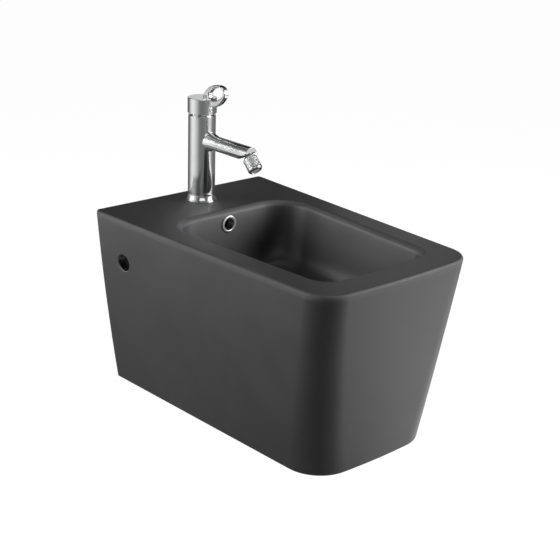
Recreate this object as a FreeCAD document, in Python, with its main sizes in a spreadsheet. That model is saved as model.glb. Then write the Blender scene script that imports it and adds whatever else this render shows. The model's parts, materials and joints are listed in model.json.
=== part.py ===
"""Wall-hung bidet with its single-lever mixer tap, pop-up waste and concealed wall fixings.

The model's origin is midway between the two wall studs, in the plane of the wall.
X runs to the right as seen from the front, Y runs towards the wall and Z runs up.
Each piece is drawn in a frame of its own: the ceramic from its deck, the tap from the point
where its axis meets the deck, the nozzle from its ball, the waste from the basin's floor.
"""
import FreeCAD, Part
import Sketcher
import math
import os

SIZES = {
    # Ceramic body: outline at the rim, half way down and at the base
    "deck_over_studs": 75.0,
    "ceramic_height": 308.0,
    "rim_width": 360.0,
    "waist_inset": 16.0,
    "base_inset": 38.0,
    "rim_taper": 24.2,
    "waist_taper": 20.0,
    "base_taper": 15.7,
    "rim_projection": 532.0,
    "waist_setback": 19.3,
    "base_setback": 35.8,
    "front_bow": 6.5,
    "rim_corner": 49.0,
    "waist_corner": 54.0,
    "base_corner": 61.5,
    "rear_corner": 8.0,
    "skirt_thick": 13.0,
    "back_thick": 18.0,
    "deck_thick": 16.0,
    "rim_edge": 5.5,
    "base_edge": 2.5,
    "wall_trim": 0.2,
    # Basin
    "basin_rear": 127.0,
    "basin_front": 477.5,
    "basin_rear_width": 259.0,
    "basin_front_width": 218.0,
    "basin_bow": 5.0,
    "basin_rear_corner": 56.0,
    "basin_front_corner": 32.0,
    "basin_depth": 118.0,
    "basin_lip": 8.5,
    "bowl_thick": 11.0,
    "well_radius": 40.0,
    "well_corner": 37.0,
    "well_bow": 1.0,
    # Waste hole, overflow duct and openings of the ceramic
    "waste_from_wall": 225.0,
    "outlet_height": 44.0,
    "outlet_radius": 42.0,
    "waste_bore": 23.0,
    "recess_radius": 33.5,
    "recess_depth": 4.0,
    "chamber_radius": 32.0,
    "chamber_drop": 12.0,
    "chamber_height": 18.0,
    "duct_width": 38.0,
    "duct_bore_width": 22.0,
    "duct_skin": 8.0,
    "overflow_drop": 24.6,
    "overflow_seat": 127.3,
    "overflow_bore": 11.0,
    "tap_bore": 17.5,
    "stud_spacing": 180.0,
    "stud_bore": 12.3,
    "side_bore": 14.0,
    "side_from_wall": 67.4,
    "side_bore_edge": 1.5,
    "rear_opening_width": 140.0,
    "rear_opening_top": 130.0,
    "rear_opening_corner": 24.0,
    # Tap body
    "tap_from_wall": 53.5,
    "foot_radius": 26.3,
    "foot_lip": 4.5,
    "foot_edge": 0.6,
    "flare_top": 17.0,
    "flare_curve": 22.0,
    "column_radius": 22.9,
    "column_top": 147.0,
    "column_edge": 1.0,
    "collar_radius": 17.2,
    "collar_height": 3.0,
    "collar_wall": 3.0,
    "collar_recess": 0.5,
    "gasket_inner": 18.6,
    "gasket_outer": 24.2,
    "gasket_height": 2.0,
    "spout_height": 105.0,
    "spout_radius": 12.25,
    "stub_reach": 53.0,
    "stub_blend": 4.0,
    "spout_reach": 127.5,
    "spout_edge": 0.6,
    "spigot_radius": 9.5,
    "spigot_length": 12.0,
    "waterway": 6.5,
    "waterway_start": 4.0,
    "inlet_radius": 4.5,
    "inlet_depth": 20.0,
    "inlet_spread": 8.2,
    "inlet_back": 5.0,
    "port_radius": 3.6,
    "outlet_port_front": 9.0,
    # Tap fixing below the deck
    "stud_radius": 4.0,
    "stud_front": 10.0,
    "stud_depth": 14.0,
    "stud_length": 62.0,
    "horseshoe_radius": 25.0,
    "horseshoe_slot": 28.0,
    "horseshoe_slot_front": 4.6,
    "horseshoe_rubber": 3.0,
    "horseshoe_plate": 2.0,
    "fixing_nut_size": 13.0,
    "fixing_nut_height": 8.0,
    # Cartridge
    "cartridge_floor": 118.0,
    "cartridge_bore": 18.0,
    "cartridge_radius": 17.5,
    "seal_height": 1.0,
    "seal_wire": 0.9,
    "base_thick": 3.5,
    "disc_radius": 11.5,
    "disc_thick": 4.0,
    "driver_thick": 2.6,
    "housing_bore": 14.5,
    "housing_top": 143.0,
    "housing_cover": 2.0,
    "housing_mouth": 11.0,
    "pivot_height": 138.0,
    "carrier_bottom": 133.0,
    "carrier_top": 140.7,
    "carrier_radius": 14.2,
    "carrier_slot_front": 5.2,
    "carrier_slot_back": 8.5,
    "stem_width": 8.0,
    "stem_tail_radius": 3.0,
    "stem_tail_end": 130.4,
    "stem_top": 169.0,
    "pin_radius": 1.5,
    "clamp_radius": 17.8,
    "clamp_bore": 12.0,
    "clamp_height": 7.0,
    "clamp_edge": 1.5,
    # Lever handle
    "cap_bottom": 149.5,
    "cap_top": 176.0,
    "cap_radius": 24.2,
    "cap_wall": 3.7,
    "cap_crown": 4.0,
    "cap_bevel": 1.6,
    "cap_edge": 0.9,
    "cap_relief": 22.0,
    "boss_radius": 7.5,
    "boss_bottom": 160.0,
    "web_width": 11.0,
    "web_bottom": 155.0,
    "loop_length": 58.5,
    "loop_width": 34.8,
    "loop_end": 12.0,
    "loop_thick": 10.2,
    "loop_edge": 1.0,
    "loop_front": 35.0,
    "loop_height": 183.7,
    "loop_tilt": 23.4,
    "eye_length": 38.0,
    "eye_width": 19.5,
    "eye_end": 8.0,
    "eye_front": 40.0,
    "eye_height": 187.95,
    "grub_height": 159.0,
    "grub_radius": 2.5,
    "plug_button_radius": 4.0,
    "plug_button_depth": 2.2,
    # Swivel nozzle
    "pivot_from_end": 10.85,
    "pivot_rise": 0.8,
    "nozzle_lean": 30.0,
    "nozzle_tilt": 15.0,
    "seat_depth": 2.5,
    "ball_radius": 7.5,
    "liner_thick": 0.8,
    "liner_low": 2.8,
    "liner_high": 7.0,
    "mouth_radius": 9.8,
    "mouth_depth": 2.2,
    "ring_proud": 0.8,
    "neck_radius": 5.0,
    "neck_end": 13.0,
    "neck_bore": 3.0,
    "shell_top": 6.5,
    "shell_end": 34.5,
    "shoulder_radius": 7.2,
    "shoulder_height": 6.5,
    "shoulder_curve": 12.0,
    "barrel_radius": 12.1,
    "barrel_curve": 5.0,
    "shell_mouth": 8.9,
    "shell_cover": 5.5,
    "shell_edge": 0.6,
    "insert_radius": 8.6,
    "insert_height": 17.2,
    "insert_inset": 1.0,
    "insert_hole": 0.8,
    "insert_hole_ring": 5.2,
    # Pop-up waste
    "flange_radius": 32.5,
    "flange_thick": 3.0,
    "flange_top": 0.5,
    "tail_radius": 20.95,
    "tail_bore": 18.2,
    "tail_length": 80.0,
    "tail_end_radius": 20.2,
    "tail_end_length": 18.0,
    "funnel_radius": 22.6,
    "funnel_depth": 4.0,
    "slot_width": 14.0,
    "slot_top": 14.0,
    "slot_height": 12.0,
    "bridge_top": 32.0,
    "bridge_height": 6.0,
    "bridge_width": 3.5,
    "bridge_boss": 7.6,
    "click_radius": 5.6,
    "click_top": 20.0,
    "click_bottom": 46.0,
    "plunger_radius": 3.0,
    "plunger_end": 38.0,
    "plug_radius": 30.0,
    "plug_gap": 0.4,
    "plug_rim": 1.6,
    "plug_crown": 1.6,
    "plug_hub": 15.0,
    "plug_hub_depth": 5.0,
    "plug_seal_outer": 20.6,
    "plug_seal_top": 0.6,
    "plug_seal_height": 2.0,
    "lower_seal_height": 6.0,
    "lower_seal_radius": 31.0,
    "backnut_radius": 34.0,
    "backnut_height": 10.0,
    # Overflow trim
    "trim_radius": 15.0,
    "trim_opening": 10.0,
    "trim_thick": 3.0,
    "trim_sleeve": 10.8,
    "trim_depth": 12.0,
    "trim_round": 1.4,
    # Concealed wall fixings
    "sleeve_radius": 12.0,
    "sleeve_bore": 6.25,
    "sleeve_length": 80.0,
    "side_screw_radius": 4.0,
    "side_screw_head": 6.6,
    "side_screw_head_height": 8.0,
    "bush_radius": 9.0,
    "bush_length": 16.0,
    # Clearances
    "overrun": 2.0,
    "thread_gap": 0.05,
    "running_gap": 0.05,
    "ball_gap": 0.1,
    "loose_gap": 0.3,
    "slide_gap": 0.05,
}

# Depth of each basin section as a share of the basin's depth, and how far it has closed from
# the rim's outline to the well around the waste
BASIN_SHARES = [
    (0.0, 0.0),
    (0.36, 0.035),
    (0.70, 0.105),
    (0.86, 0.21),
    (0.93, 0.36),
    (0.963, 0.54),
    (0.985, 0.77),
    (1.0, 1.0),
]
FLOOR_START = 4

# Places down the overflow duct: distance from the wall and depth, as shares of the basin's
# rear edge and depth
DUCT_FRONT_SHARES = [(0.937, 0.10), (0.961, 0.51), (0.992, 0.76), (1.079, 0.99), (1.26, 1.085), (1.54, 1.12)]
DUCT_REAR_SHARES = [(1.54, 1.245), (1.22, 1.22), (0.992, 1.085), (0.866, 0.805), (0.827, 0.525), (0.811, 0.10)]

FULL_TURN = 360.0
LEFT = 1
RIGHT = -1

doc = FreeCAD.newDocument("bidet")
sheet = doc.addObject("Spreadsheet::Sheet", "Sizes")
for row, (alias, number) in enumerate(SIZES.items(), start=1):
    sheet.set(f"A{row}", alias)
    sheet.set(f"B{row}", str(number))
    sheet.setAlias(f"B{row}", alias)
doc.recompute()


class Size:
    """A size worked out from the sheet: the expression that binds it and its present value."""

    def __init__(self, text, value):
        self.text = text
        self.value = value

    def join(self, sign, other, value):
        return Size(f"({self.text} {sign} {as_size(other).text})", value)

    def __add__(self, other):
        return self.join("+", other, self.value + as_size(other).value)

    def __sub__(self, other):
        return self.join("-", other, self.value - as_size(other).value)

    def __mul__(self, other):
        return self.join("*", other, self.value * as_size(other).value)

    def __truediv__(self, other):
        return self.join("/", other, self.value / as_size(other).value)

    def __neg__(self):
        return Size(f"(0 - {self.text})", -self.value)


def as_size(thing):
    """A Size as it is, or a plain number as one."""
    if isinstance(thing, Size):
        return thing
    return Size(repr(float(thing)), float(thing))


def size(alias):
    """The size that the sheet keeps under this name."""
    return Size(f"Sizes.{alias}", SIZES[alias])


def root(thing):
    """Square root of a size's square."""
    return Size(f"sqrt({thing.text})", math.sqrt(thing.value))


def tan_of(angle):
    """Tangent of an angle kept in degrees."""
    return Size(f"tan({angle.text} * 1 deg)", math.tan(math.radians(angle.value)))


ZERO = as_size(0)
OVER = size("overrun")


def bind(thing, path, amount):
    """Tie one property of an object to the sheet."""
    thing.setExpression(path, as_size(amount).text)


def new_body(label, x=ZERO, y=ZERO, z=ZERO, turn=None):
    """An empty body at a place tied to the sheet, turned about X by an angle where one is given."""
    body = doc.addObject("PartDesign::Body", label)
    body.Label = label
    if turn is not None:
        axis = FreeCAD.Vector(1, 0, 0)
        body.Placement = FreeCAD.Placement(FreeCAD.Vector(), FreeCAD.Rotation(axis, turn.value))
        body.setExpression("Placement.Rotation.Angle", f"{turn.text} * 1 deg")
    bind(body, "Placement.Base.x", x)
    bind(body, "Placement.Base.y", y)
    bind(body, "Placement.Base.z", z)
    return body


def new_sketch(body, name, role, x=ZERO, y=ZERO, z=ZERO, spin=None):
    """An empty sketch on one of the body's planes, moved in that plane's own axes."""
    sketch = body.newObject("Sketcher::SketchObject", name)
    plane = [feature for feature in body.Origin.OriginFeatures if feature.Role == role][0]
    sketch.AttachmentSupport = [(plane, "")]
    sketch.MapMode = "FlatFace"
    if spin is not None:
        axis = FreeCAD.Vector(0, 0, 1)
        offset = FreeCAD.Placement(FreeCAD.Vector(), FreeCAD.Rotation(axis, spin.value))
        sketch.AttachmentOffset = offset
        sketch.setExpression("AttachmentOffset.Rotation.Angle", f"{spin.text} * 1 deg")
    bind(sketch, "AttachmentOffset.Base.x", x)
    bind(sketch, "AttachmentOffset.Base.y", y)
    bind(sketch, "AttachmentOffset.Base.z", z)
    return sketch


def limit(sketch, kind, geometry, end, amount):
    """Hold one end of an edge at a distance from the sketch's origin along one axis."""
    number = sketch.addConstraint(Sketcher.Constraint(kind, -1, 1, geometry, end, amount.value))
    sketch.setExpression(f"Constraints[{number}]", amount.text)


def set_radius(sketch, geometry, amount):
    """Hold an arc's or a circle's radius."""
    number = sketch.addConstraint(Sketcher.Constraint("Radius", geometry, amount.value))
    sketch.setExpression(f"Constraints[{number}]", amount.text)


def arc_between(start, end, radius, side):
    """The arc that turns left or right from start to end."""
    chord = end - start
    half = chord.Length / 2
    rise = math.sqrt(max(radius * radius - half * half, 0.0))
    normal = FreeCAD.Vector(-chord.y, chord.x, 0).normalize()
    centre = start + chord / 2 + normal * rise * side
    first, last = (start, end) if side == LEFT else (end, start)
    first_angle = math.atan2(first.y - centre.y, first.x - centre.x)
    last_angle = math.atan2(last.y - centre.y, last.x - centre.x)
    circle = Part.Circle(centre, FreeCAD.Vector(0, 0, 1), radius)
    return Part.ArcOfCircle(circle, first_angle, last_angle)


def outline(body, name, role, points, **place):
    """A closed outline; a point (x, y, radius, side) starts an arc, and (x, y) a straight edge."""
    sketch = new_sketch(body, name, role, **place)
    corners = [FreeCAD.Vector(as_size(p[0]).value, as_size(p[1]).value, 0) for p in points]
    heads = []
    tails = []
    for number, point in enumerate(points):
        start = corners[number]
        end = corners[(number + 1) % len(points)]
        if len(point) == 2:
            sketch.addGeometry(Part.LineSegment(start, end))
            head, tail = 1, 2
        else:
            sketch.addGeometry(arc_between(start, end, point[2].value, point[3]))
            head, tail = (1, 2) if point[3] == LEFT else (2, 1)
        heads.append(head)
        tails.append(tail)
    for number in range(len(points)):
        after = (number + 1) % len(points)
        sketch.addConstraint(Sketcher.Constraint("Coincident", number, tails[number], after, heads[after]))
    for number, point in enumerate(points):
        limit(sketch, "DistanceX", number, heads[number], as_size(point[0]))
        limit(sketch, "DistanceY", number, heads[number], as_size(point[1]))
        if len(point) == 4:
            set_radius(sketch, number, point[2])
    return sketch


def circles(body, name, role, rounds, **place):
    """A sketch of circles, each given as (x, y, radius)."""
    sketch = new_sketch(body, name, role, **place)
    for number, (x, y, radius) in enumerate(rounds):
        centre = FreeCAD.Vector(as_size(x).value, as_size(y).value, 0)
        sketch.addGeometry(Part.Circle(centre, FreeCAD.Vector(0, 0, 1), radius.value))
        limit(sketch, "DistanceX", number, 3, as_size(x))
        limit(sketch, "DistanceY", number, 3, as_size(y))
        set_radius(sketch, number, radius)
    return sketch


def slab(body, name, role, low_x, high_x, low_y, high_y, **place):
    """A rectangle between two pairs of limits."""
    corners = [(low_x, low_y), (high_x, low_y), (high_x, high_y), (low_x, high_y)]
    return outline(body, name, role, corners, **place)


def settle(body, adds, before):
    """Recompute after a feature and make sure that it did its work."""
    doc.recompute()
    change = body.Shape.Volume - before
    done = change > 0 if adds else change < 0
    if not done or body.Tip.Shape.isNull() or not body.Shape.isValid():
        raise RuntimeError(f"{body.Label}: {body.Tip.Name} changed the volume by {change:.3f}")


def volume(body):
    """The body's volume so far."""
    return body.Shape.Volume if body.Tip else 0.0


def pad(body, sketch, length, middle=False, back=False):
    """Add the sketch's area, drawn out along its normal."""
    before = volume(body)
    feature = body.newObject("PartDesign::Pad", sketch.Name + "_pad")
    feature.Profile = sketch
    feature.Midplane = middle
    feature.Reversed = back
    bind(feature, "Length", length)
    settle(body, True, before)
    return feature


def pocket(body, sketch, length, middle=False, along=False):
    """Cut the sketch's area, against its normal or along it."""
    before = volume(body)
    feature = body.newObject("PartDesign::Pocket", sketch.Name + "_pocket")
    feature.Profile = sketch
    feature.Midplane = middle
    feature.Reversed = along
    bind(feature, "Length", length)
    settle(body, False, before)
    return feature


def turned(body, sketch, cut=False):
    """Turn the sketch a full turn about its vertical axis, to add or to cut."""
    before = volume(body)
    kind = "PartDesign::Groove" if cut else "PartDesign::Revolution"
    feature = body.newObject(kind, sketch.Name + "_turn")
    feature.Profile = sketch
    feature.ReferenceAxis = (sketch, ["V_Axis"])
    feature.Angle = FULL_TURN
    settle(body, not cut, before)
    return feature


def sphere(body, name, radius, cut=False, **place):
    """A ball, added or cut, in the body's own axes."""
    before = volume(body)
    kind = "PartDesign::SubtractiveSphere" if cut else "PartDesign::AdditiveSphere"
    feature = body.newObject(kind, name)
    bind(feature, "Radius", radius)
    for axis, amount in place.items():
        bind(feature, f"AttachmentOffset.Base.{axis}", amount)
    if place:
        plane = [item for item in body.Origin.OriginFeatures if item.Role == "XY_Plane"][0]
        feature.AttachmentSupport = [(plane, "")]
        feature.MapMode = "FlatFace"
    settle(body, not cut, before)
    return feature


def loft(body, sketches, cut=False):
    """A smooth skin through the sketches, added or cut."""
    before = volume(body)
    kind = "PartDesign::SubtractiveLoft" if cut else "PartDesign::AdditiveLoft"
    feature = body.newObject(kind, sketches[0].Name + "_loft")
    feature.Profile = sketches[0]
    feature.Sections = sketches[1:]
    feature.Ruled = False
    settle(body, not cut, before)
    return feature


def soften(body, radius, wanted, kind="PartDesign::Fillet"):
    """Round, or bevel, every edge that the test picks out."""
    base = body.Tip
    names = [f"Edge{n}" for n, edge in enumerate(base.Shape.Edges, start=1) if wanted(edge)]
    if not names:
        raise RuntimeError(f"{body.Label}: no edge to soften")
    feature = body.newObject(kind, f"{body.Name}_{base.Name}_edge")
    feature.Base = (base, names)
    bind(feature, "Size" if kind.endswith("Chamfer") else "Radius", radius)
    doc.recompute()
    if feature.Shape.isNull() or not body.Shape.isValid():
        raise RuntimeError(f"{body.Label}: {feature.Name} is not valid")
    return feature


def lathe(label, points, **place):
    """A whole body turned from one outline, given as radius and height."""
    body = new_body(label, **place)
    turned(body, outline(body, label + "_profile", "XZ_Plane", points))
    return body


def tub(body, name, depth, half_rear, half_front, rear, front, bow, rear_corner, front_corner):
    """A plan with a straight rear edge, sides that close to the front and a bowed front edge.

    The sides' lines meet the rear edge at half_rear and the front corners at half_front;
    front is where the bow reaches furthest, and the front corners lie back by the bow.
    """
    sketch = new_sketch(body, name, "XY_Plane", z=-depth)
    sweep = (half_front * half_front + bow * bow) / (bow * 2)
    far_corner = FreeCAD.Vector(half_rear.value, rear.value, 0)
    near_corner = FreeCAD.Vector(half_front.value, front.value + bow.value, 0)
    along = (near_corner - far_corner).normalize()
    inward = FreeCAD.Vector(along.y, -along.x, 0)
    rear_r = rear_corner.value
    front_r = front_corner.value
    rear_run = (-rear_r - rear_r * inward.y) / along.y
    rear_centre = far_corner + along * rear_run + inward * rear_r
    sweep_centre = FreeCAD.Vector(0, front.value + sweep.value, 0)
    offset = far_corner + inward * front_r - sweep_centre
    reach = sweep.value - front_r
    middle = offset.dot(along)
    front_run = -middle + math.sqrt(middle * middle - offset.dot(offset) + reach * reach)
    front_centre = far_corner + along * front_run + inward * front_r
    side_rear = far_corner + along * rear_run
    side_front = far_corner + along * front_run
    rear_end = FreeCAD.Vector(rear_centre.x, rear.value, 0)
    toe = front_centre + (front_centre - sweep_centre).normalize() * front_r

    def flip(point):
        return FreeCAD.Vector(-point.x, point.y, 0)

    sketch.addGeometry(Part.LineSegment(side_front, side_rear))
    sketch.addGeometry(arc_between(side_rear, rear_end, rear_r, LEFT))
    sketch.addGeometry(Part.LineSegment(rear_end, flip(rear_end)))
    sketch.addGeometry(arc_between(flip(rear_end), flip(side_rear), rear_r, LEFT))
    sketch.addGeometry(Part.LineSegment(flip(side_rear), flip(side_front)))
    sketch.addGeometry(arc_between(flip(side_front), flip(toe), front_r, LEFT))
    sketch.addGeometry(arc_between(flip(toe), toe, sweep.value, LEFT))
    sketch.addGeometry(arc_between(toe, side_front, front_r, LEFT))
    edges = 8
    for number in range(edges):
        after = (number + 1) % edges
        sketch.addConstraint(Sketcher.Constraint("Tangent", number, 2, after, 1))
    for number, radius in ((1, rear_corner), (3, rear_corner), (5, front_corner), (7, front_corner), (6, sweep)):
        set_radius(sketch, number, radius)
    sketch.addConstraint(Sketcher.Constraint("Horizontal", 2))
    limit(sketch, "DistanceY", 2, 1, rear)
    limit(sketch, "DistanceX", 6, 3, ZERO)
    limit(sketch, "DistanceY", 6, 3, front + sweep)
    for side, line in ((1, 0), (-1, 4)):
        for x, y in ((half_rear, rear), (half_front, front + bow)):
            number = sketch.addGeometry(Part.Point(FreeCAD.Vector(x.value * side, y.value, 0)), True)
            limit(sketch, "DistanceX", number, 1, x * side)
            limit(sketch, "DistanceY", number, 1, y)
            sketch.addConstraint(Sketcher.Constraint("PointOnObject", number, 1, line))
    return sketch


# Ceramic body

LEVELS = [
    ("rim", ZERO, ZERO, ZERO),
    ("waist", size("ceramic_height") / 2, size("waist_inset"), size("waist_setback")),
    ("base", size("ceramic_height"), size("base_inset"), size("base_setback")),
]


def skirt_section(body, name, level, inset, rear):
    """The ceramic's outline at one level, drawn in by the inset."""
    level_name, depth, tuck, setback = level
    half = size("rim_width") / 2 - tuck - inset
    front = inset + setback - size("rim_projection")
    corner = size(level_name + "_corner") - inset
    return tub(body, name, depth, half, half - size(level_name + "_taper"), rear, front,
               size("front_bow"), size("rear_corner"), corner)


def basin_section(body, name, depth, closing, grow):
    """The basin's outline, closing from the rim towards the well and grown by the bowl's wall."""
    def between(at_rim, at_well):
        return at_rim + (at_well - at_rim) * closing

    well = size("well_radius")
    waste = size("waste_from_wall")
    half_rear = between(size("basin_rear_width") / 2, well) + grow
    half_front = between(size("basin_front_width") / 2, well) + grow
    rear = grow - between(size("basin_rear"), waste - well)
    front = -between(size("basin_front"), waste + well) - grow
    bow = between(size("basin_bow"), size("well_bow"))
    rear_corner = between(size("basin_rear_corner"), size("well_corner")) + grow
    front_corner = between(size("basin_front_corner"), size("well_corner")) + grow
    return tub(body, name, depth, half_rear, half_front, rear, front, bow, rear_corner, front_corner)


def make_ceramic():
    """The skirt and back, the deck, the bowl with its overflow duct, and every hole."""
    body = new_body("ceramic_body", z=size("deck_over_studs"))
    height = size("ceramic_height")
    depth = size("basin_depth")
    waste = size("waste_from_wall")
    loft(body, [skirt_section(body, "outer_" + level[0], level, ZERO, size("wall_trim")) for level in LEVELS])
    tiny = size("overrun").value / 10

    def at_height(edge, level):
        box = edge.BoundBox
        return abs(box.ZMin - level) < tiny and abs(box.ZMax - level) < tiny

    def on_base(edge):
        return at_height(edge, -height.value) and edge.BoundBox.YMin < -tiny

    def on_rim(edge):
        return at_height(edge, 0.0) and edge.BoundBox.YMin < -tiny

    soften(body, size("base_edge"), on_base)
    soften(body, size("rim_edge"), on_rim)
    half_rim = size("rim_width") / 2 + OVER
    back = slab(body, "back_face", "XZ_Plane", -half_rim, half_rim, -height - OVER, OVER)
    pocket(body, back, OVER)
    thick = size("skirt_thick")
    rear_wall = size("back_thick")
    loft(body, [skirt_section(body, "inner_" + level[0], level, thick, -rear_wall) for level in LEVELS],
         cut=True)
    deck = skirt_section(body, "deck", LEVELS[0], thick / 2, -rear_wall / 2)
    pad(body, deck, size("deck_thick"), back=True)

    grow = size("bowl_thick")
    outer_depth = depth + grow
    top = size("deck_thick") / 2
    bowl = []
    for number, (depth_share, closing) in enumerate(BASIN_SHARES):
        place = top + (outer_depth - top) * depth_share
        bowl.append(basin_section(body, f"bowl_{number}", place, closing, grow))
    loft(body, bowl[:FLOOR_START + 1])
    loft(body, bowl[FLOOR_START:])
    start = depth + grow / 2
    outlet = circles(body, "outlet", "XY_Plane", [(ZERO, -waste, size("outlet_radius"))], z=-start)
    pad(body, outlet, size("outlet_height") - grow / 2, back=True)

    def duct(name, skin):
        rear = size("basin_rear")
        front = [(-rear * y + skin, -depth * z) for y, z in DUCT_FRONT_SHARES]
        back = [(-rear * y + skin, -depth * z - skin) for y, z in DUCT_REAR_SHARES]
        return outline(body, name, "YZ_Plane", front + back)

    pad(body, duct("duct", size("duct_skin")), size("duct_width"), middle=True)
    basin = []
    for number, (depth_share, closing) in enumerate(BASIN_SHARES):
        basin.append(basin_section(body, f"basin_{number}", depth * depth_share, closing, ZERO))
    loft(body, basin[:FLOOR_START + 1], cut=True)
    loft(body, basin[FLOOR_START:], cut=True)
    pocket(body, duct("duct_bore", ZERO), size("duct_bore_width"), middle=True)

    def round_hole(name, radius, drop, length):
        hole = circles(body, name, "XY_Plane", [(ZERO, -waste, size(radius))], z=-drop)
        pocket(body, hole, length)

    round_hole("recess", "recess_radius", depth, size("recess_depth"))
    round_hole("waste_hole", "waste_bore", depth, size("outlet_height") + OVER)
    round_hole("chamber", "chamber_radius", depth + size("chamber_drop"), size("chamber_height"))

    tap = circles(body, "tap_hole", "XY_Plane", [(ZERO, -size("tap_from_wall"), size("tap_bore"))])
    pocket(body, tap, size("deck_thick") + OVER)
    drop = -size("overflow_drop")
    bore_start = size("overflow_seat") - grow - OVER
    bore = circles(body, "overflow_hole", "XZ_Plane", [(ZERO, drop, size("overflow_bore"))], z=bore_start)
    pocket(body, bore, grow + OVER * 3, along=True)
    trim_room = size("trim_radius") + size("loose_gap")
    face = circles(body, "overflow_face", "XZ_Plane", [(ZERO, drop, trim_room)], z=size("overflow_seat"))
    pocket(body, face, size("bowl_thick"), along=True)
    stud_height = -size("deck_over_studs")
    half_spacing = size("stud_spacing") / 2
    studs = [(half_spacing * side, stud_height, size("stud_bore")) for side in (-1, 1)]
    pocket(body, circles(body, "stud_holes", "XZ_Plane", studs), size("back_thick") + OVER, along=True)
    side = circles(body, "side_holes", "YZ_Plane", [(-size("side_from_wall"), stud_height, size("side_bore"))])
    pocket(body, side, size("rim_width") + OVER, middle=True)
    half_opening = size("rear_opening_width") / 2
    arch = size("rear_opening_corner")
    top_edge = -size("rear_opening_top")
    opening = outline(body, "rear_opening", "XZ_Plane", [
        (-half_opening, -height - OVER),
        (half_opening, -height - OVER),
        (half_opening, top_edge - arch, arch, LEFT),
        (half_opening - arch, top_edge),
        (arch - half_opening, top_edge, arch, LEFT),
        (-half_opening, top_edge - arch),
    ])
    pocket(body, opening, size("back_thick") + OVER, along=True)

    rim_half = size("rim_width").value / 2 - size("rim_taper").value - thick.value
    side_middle = -size("side_from_wall").value

    def in_basin(edge):
        box = edge.BoundBox
        rear = -size("basin_rear").value + tiny
        front = -size("basin_front").value - tiny
        inside = box.YMax < rear and box.YMin > front
        return at_height(edge, 0.0) and inside and max(abs(box.XMin), abs(box.XMax)) < rim_half

    def round_side_hole(edge):
        box = edge.BoundBox
        across = size("side_bore").value * 2
        outside = max(abs(box.XMin), abs(box.XMax)) > size("stud_spacing").value * 0.87
        centred = abs(box.Center.y - side_middle) < tiny * 5
        return outside and centred and box.YLength < across + tiny * 5 and box.ZLength > across / 3

    soften(body, size("basin_lip"), in_basin)
    soften(body, size("side_bore_edge"), round_side_hole)
    return body


# Tap body and what holds it to the deck

TAP = {"y": -size("tap_from_wall"), "z": size("deck_over_studs")}


def port_places(radius):
    """The two inlet ports and the outlet port in the cartridge's floor."""
    spread = size("inlet_spread")
    back = size("inlet_back")
    return [(-spread, back, radius), (spread, back, radius), (ZERO, -size("outlet_port_front"), radius)]


def make_tap_body():
    """Flared foot, column bored for the cartridge, and the stub that carries the spout."""
    foot = size("foot_radius")
    edge = size("foot_edge")
    column = size("column_radius")
    top = size("column_top")
    collar = size("collar_radius")
    groove = size("gasket_height")
    body = lathe("tap_body", [
        (ZERO, size("collar_recess")),
        (collar - size("collar_wall"), size("collar_recess")),
        (collar - size("collar_wall"), -size("collar_height")),
        (collar, -size("collar_height")),
        (collar, ZERO),
        (size("gasket_inner"), ZERO),
        (size("gasket_inner"), groove),
        (size("gasket_outer"), groove),
        (size("gasket_outer"), ZERO),
        (foot - edge, ZERO),
        (foot, edge),
        (foot, size("foot_lip"), size("flare_curve"), RIGHT),
        (column, size("flare_top")),
        (column, top - size("column_edge")),
        (column - size("column_edge"), top),
        (ZERO, top),
    ], **TAP)
    height = size("spout_height")
    stub = circles(body, "stub", "XZ_Plane", [(ZERO, height, size("spout_radius"))])
    pad(body, stub, size("stub_reach"))
    middle = height.value
    reach = size("spout_radius").value + size("overrun").value
    near = size("stub_reach").value - size("overrun").value

    def at_stub_root(item):
        box = item.BoundBox
        between = box.ZMin > middle - reach and box.ZMax < middle + reach
        return between and box.YMin > -near and box.ZMax - box.ZMin > size("overrun").value

    soften(body, size("stub_blend"), at_stub_root)
    floor = size("cartridge_floor")
    pocket(body, circles(body, "cartridge_bore", "XY_Plane", [(ZERO, ZERO, size("cartridge_bore"))], z=top),
           top - floor)
    start = size("waterway_start")
    way = circles(body, "waterway", "XZ_Plane", [(ZERO, height, size("waterway"))], z=start)
    pocket(body, way, size("stub_reach"), along=True)
    socket_start = size("stub_reach") - size("spigot_length")
    socket_radius = size("spigot_radius") + size("thread_gap")
    socket = circles(body, "socket", "XZ_Plane", [(ZERO, height, socket_radius)], z=socket_start)
    pocket(body, socket, size("spigot_length") + OVER, along=True)
    ports = port_places(size("port_radius"))
    pocket(body, circles(body, "outlet_port", "XY_Plane", ports[2:], z=floor), floor - height)
    low = size("collar_recess")
    feeds = circles(body, "feeds", "XY_Plane", ports[:2], z=low)
    pocket(body, feeds, floor - low + OVER, along=True)
    inlets = circles(body, "inlets", "XY_Plane", port_places(size("inlet_radius"))[:2], z=low)
    pocket(body, inlets, size("inlet_depth"), along=True)
    stud_room = size("stud_radius") + size("thread_gap")
    stud = circles(body, "stud_hole", "XY_Plane", [(ZERO, -size("stud_front"), stud_room)], z=low)
    pocket(body, stud, size("stud_depth") - low, along=True)
    return body


def make_base_gasket():
    """Flat rubber ring in the foot's groove."""
    gap = size("thread_gap")
    return lathe("base_gasket", [
        (size("gasket_inner") + gap, ZERO),
        (size("gasket_outer") - gap, ZERO),
        (size("gasket_outer") - gap, size("gasket_height")),
        (size("gasket_inner") + gap, size("gasket_height")),
    ], **TAP)


def make_fixing_stud():
    """Threaded rod from the tap's underside to below the deck."""
    body = new_body("fixing_stud", **TAP)
    rod = circles(body, "rod", "XY_Plane", [(ZERO, -size("stud_front"), size("stud_radius"))],
                  z=size("stud_depth") - size("stud_length"))
    pad(body, rod, size("stud_length"))
    return body


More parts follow.
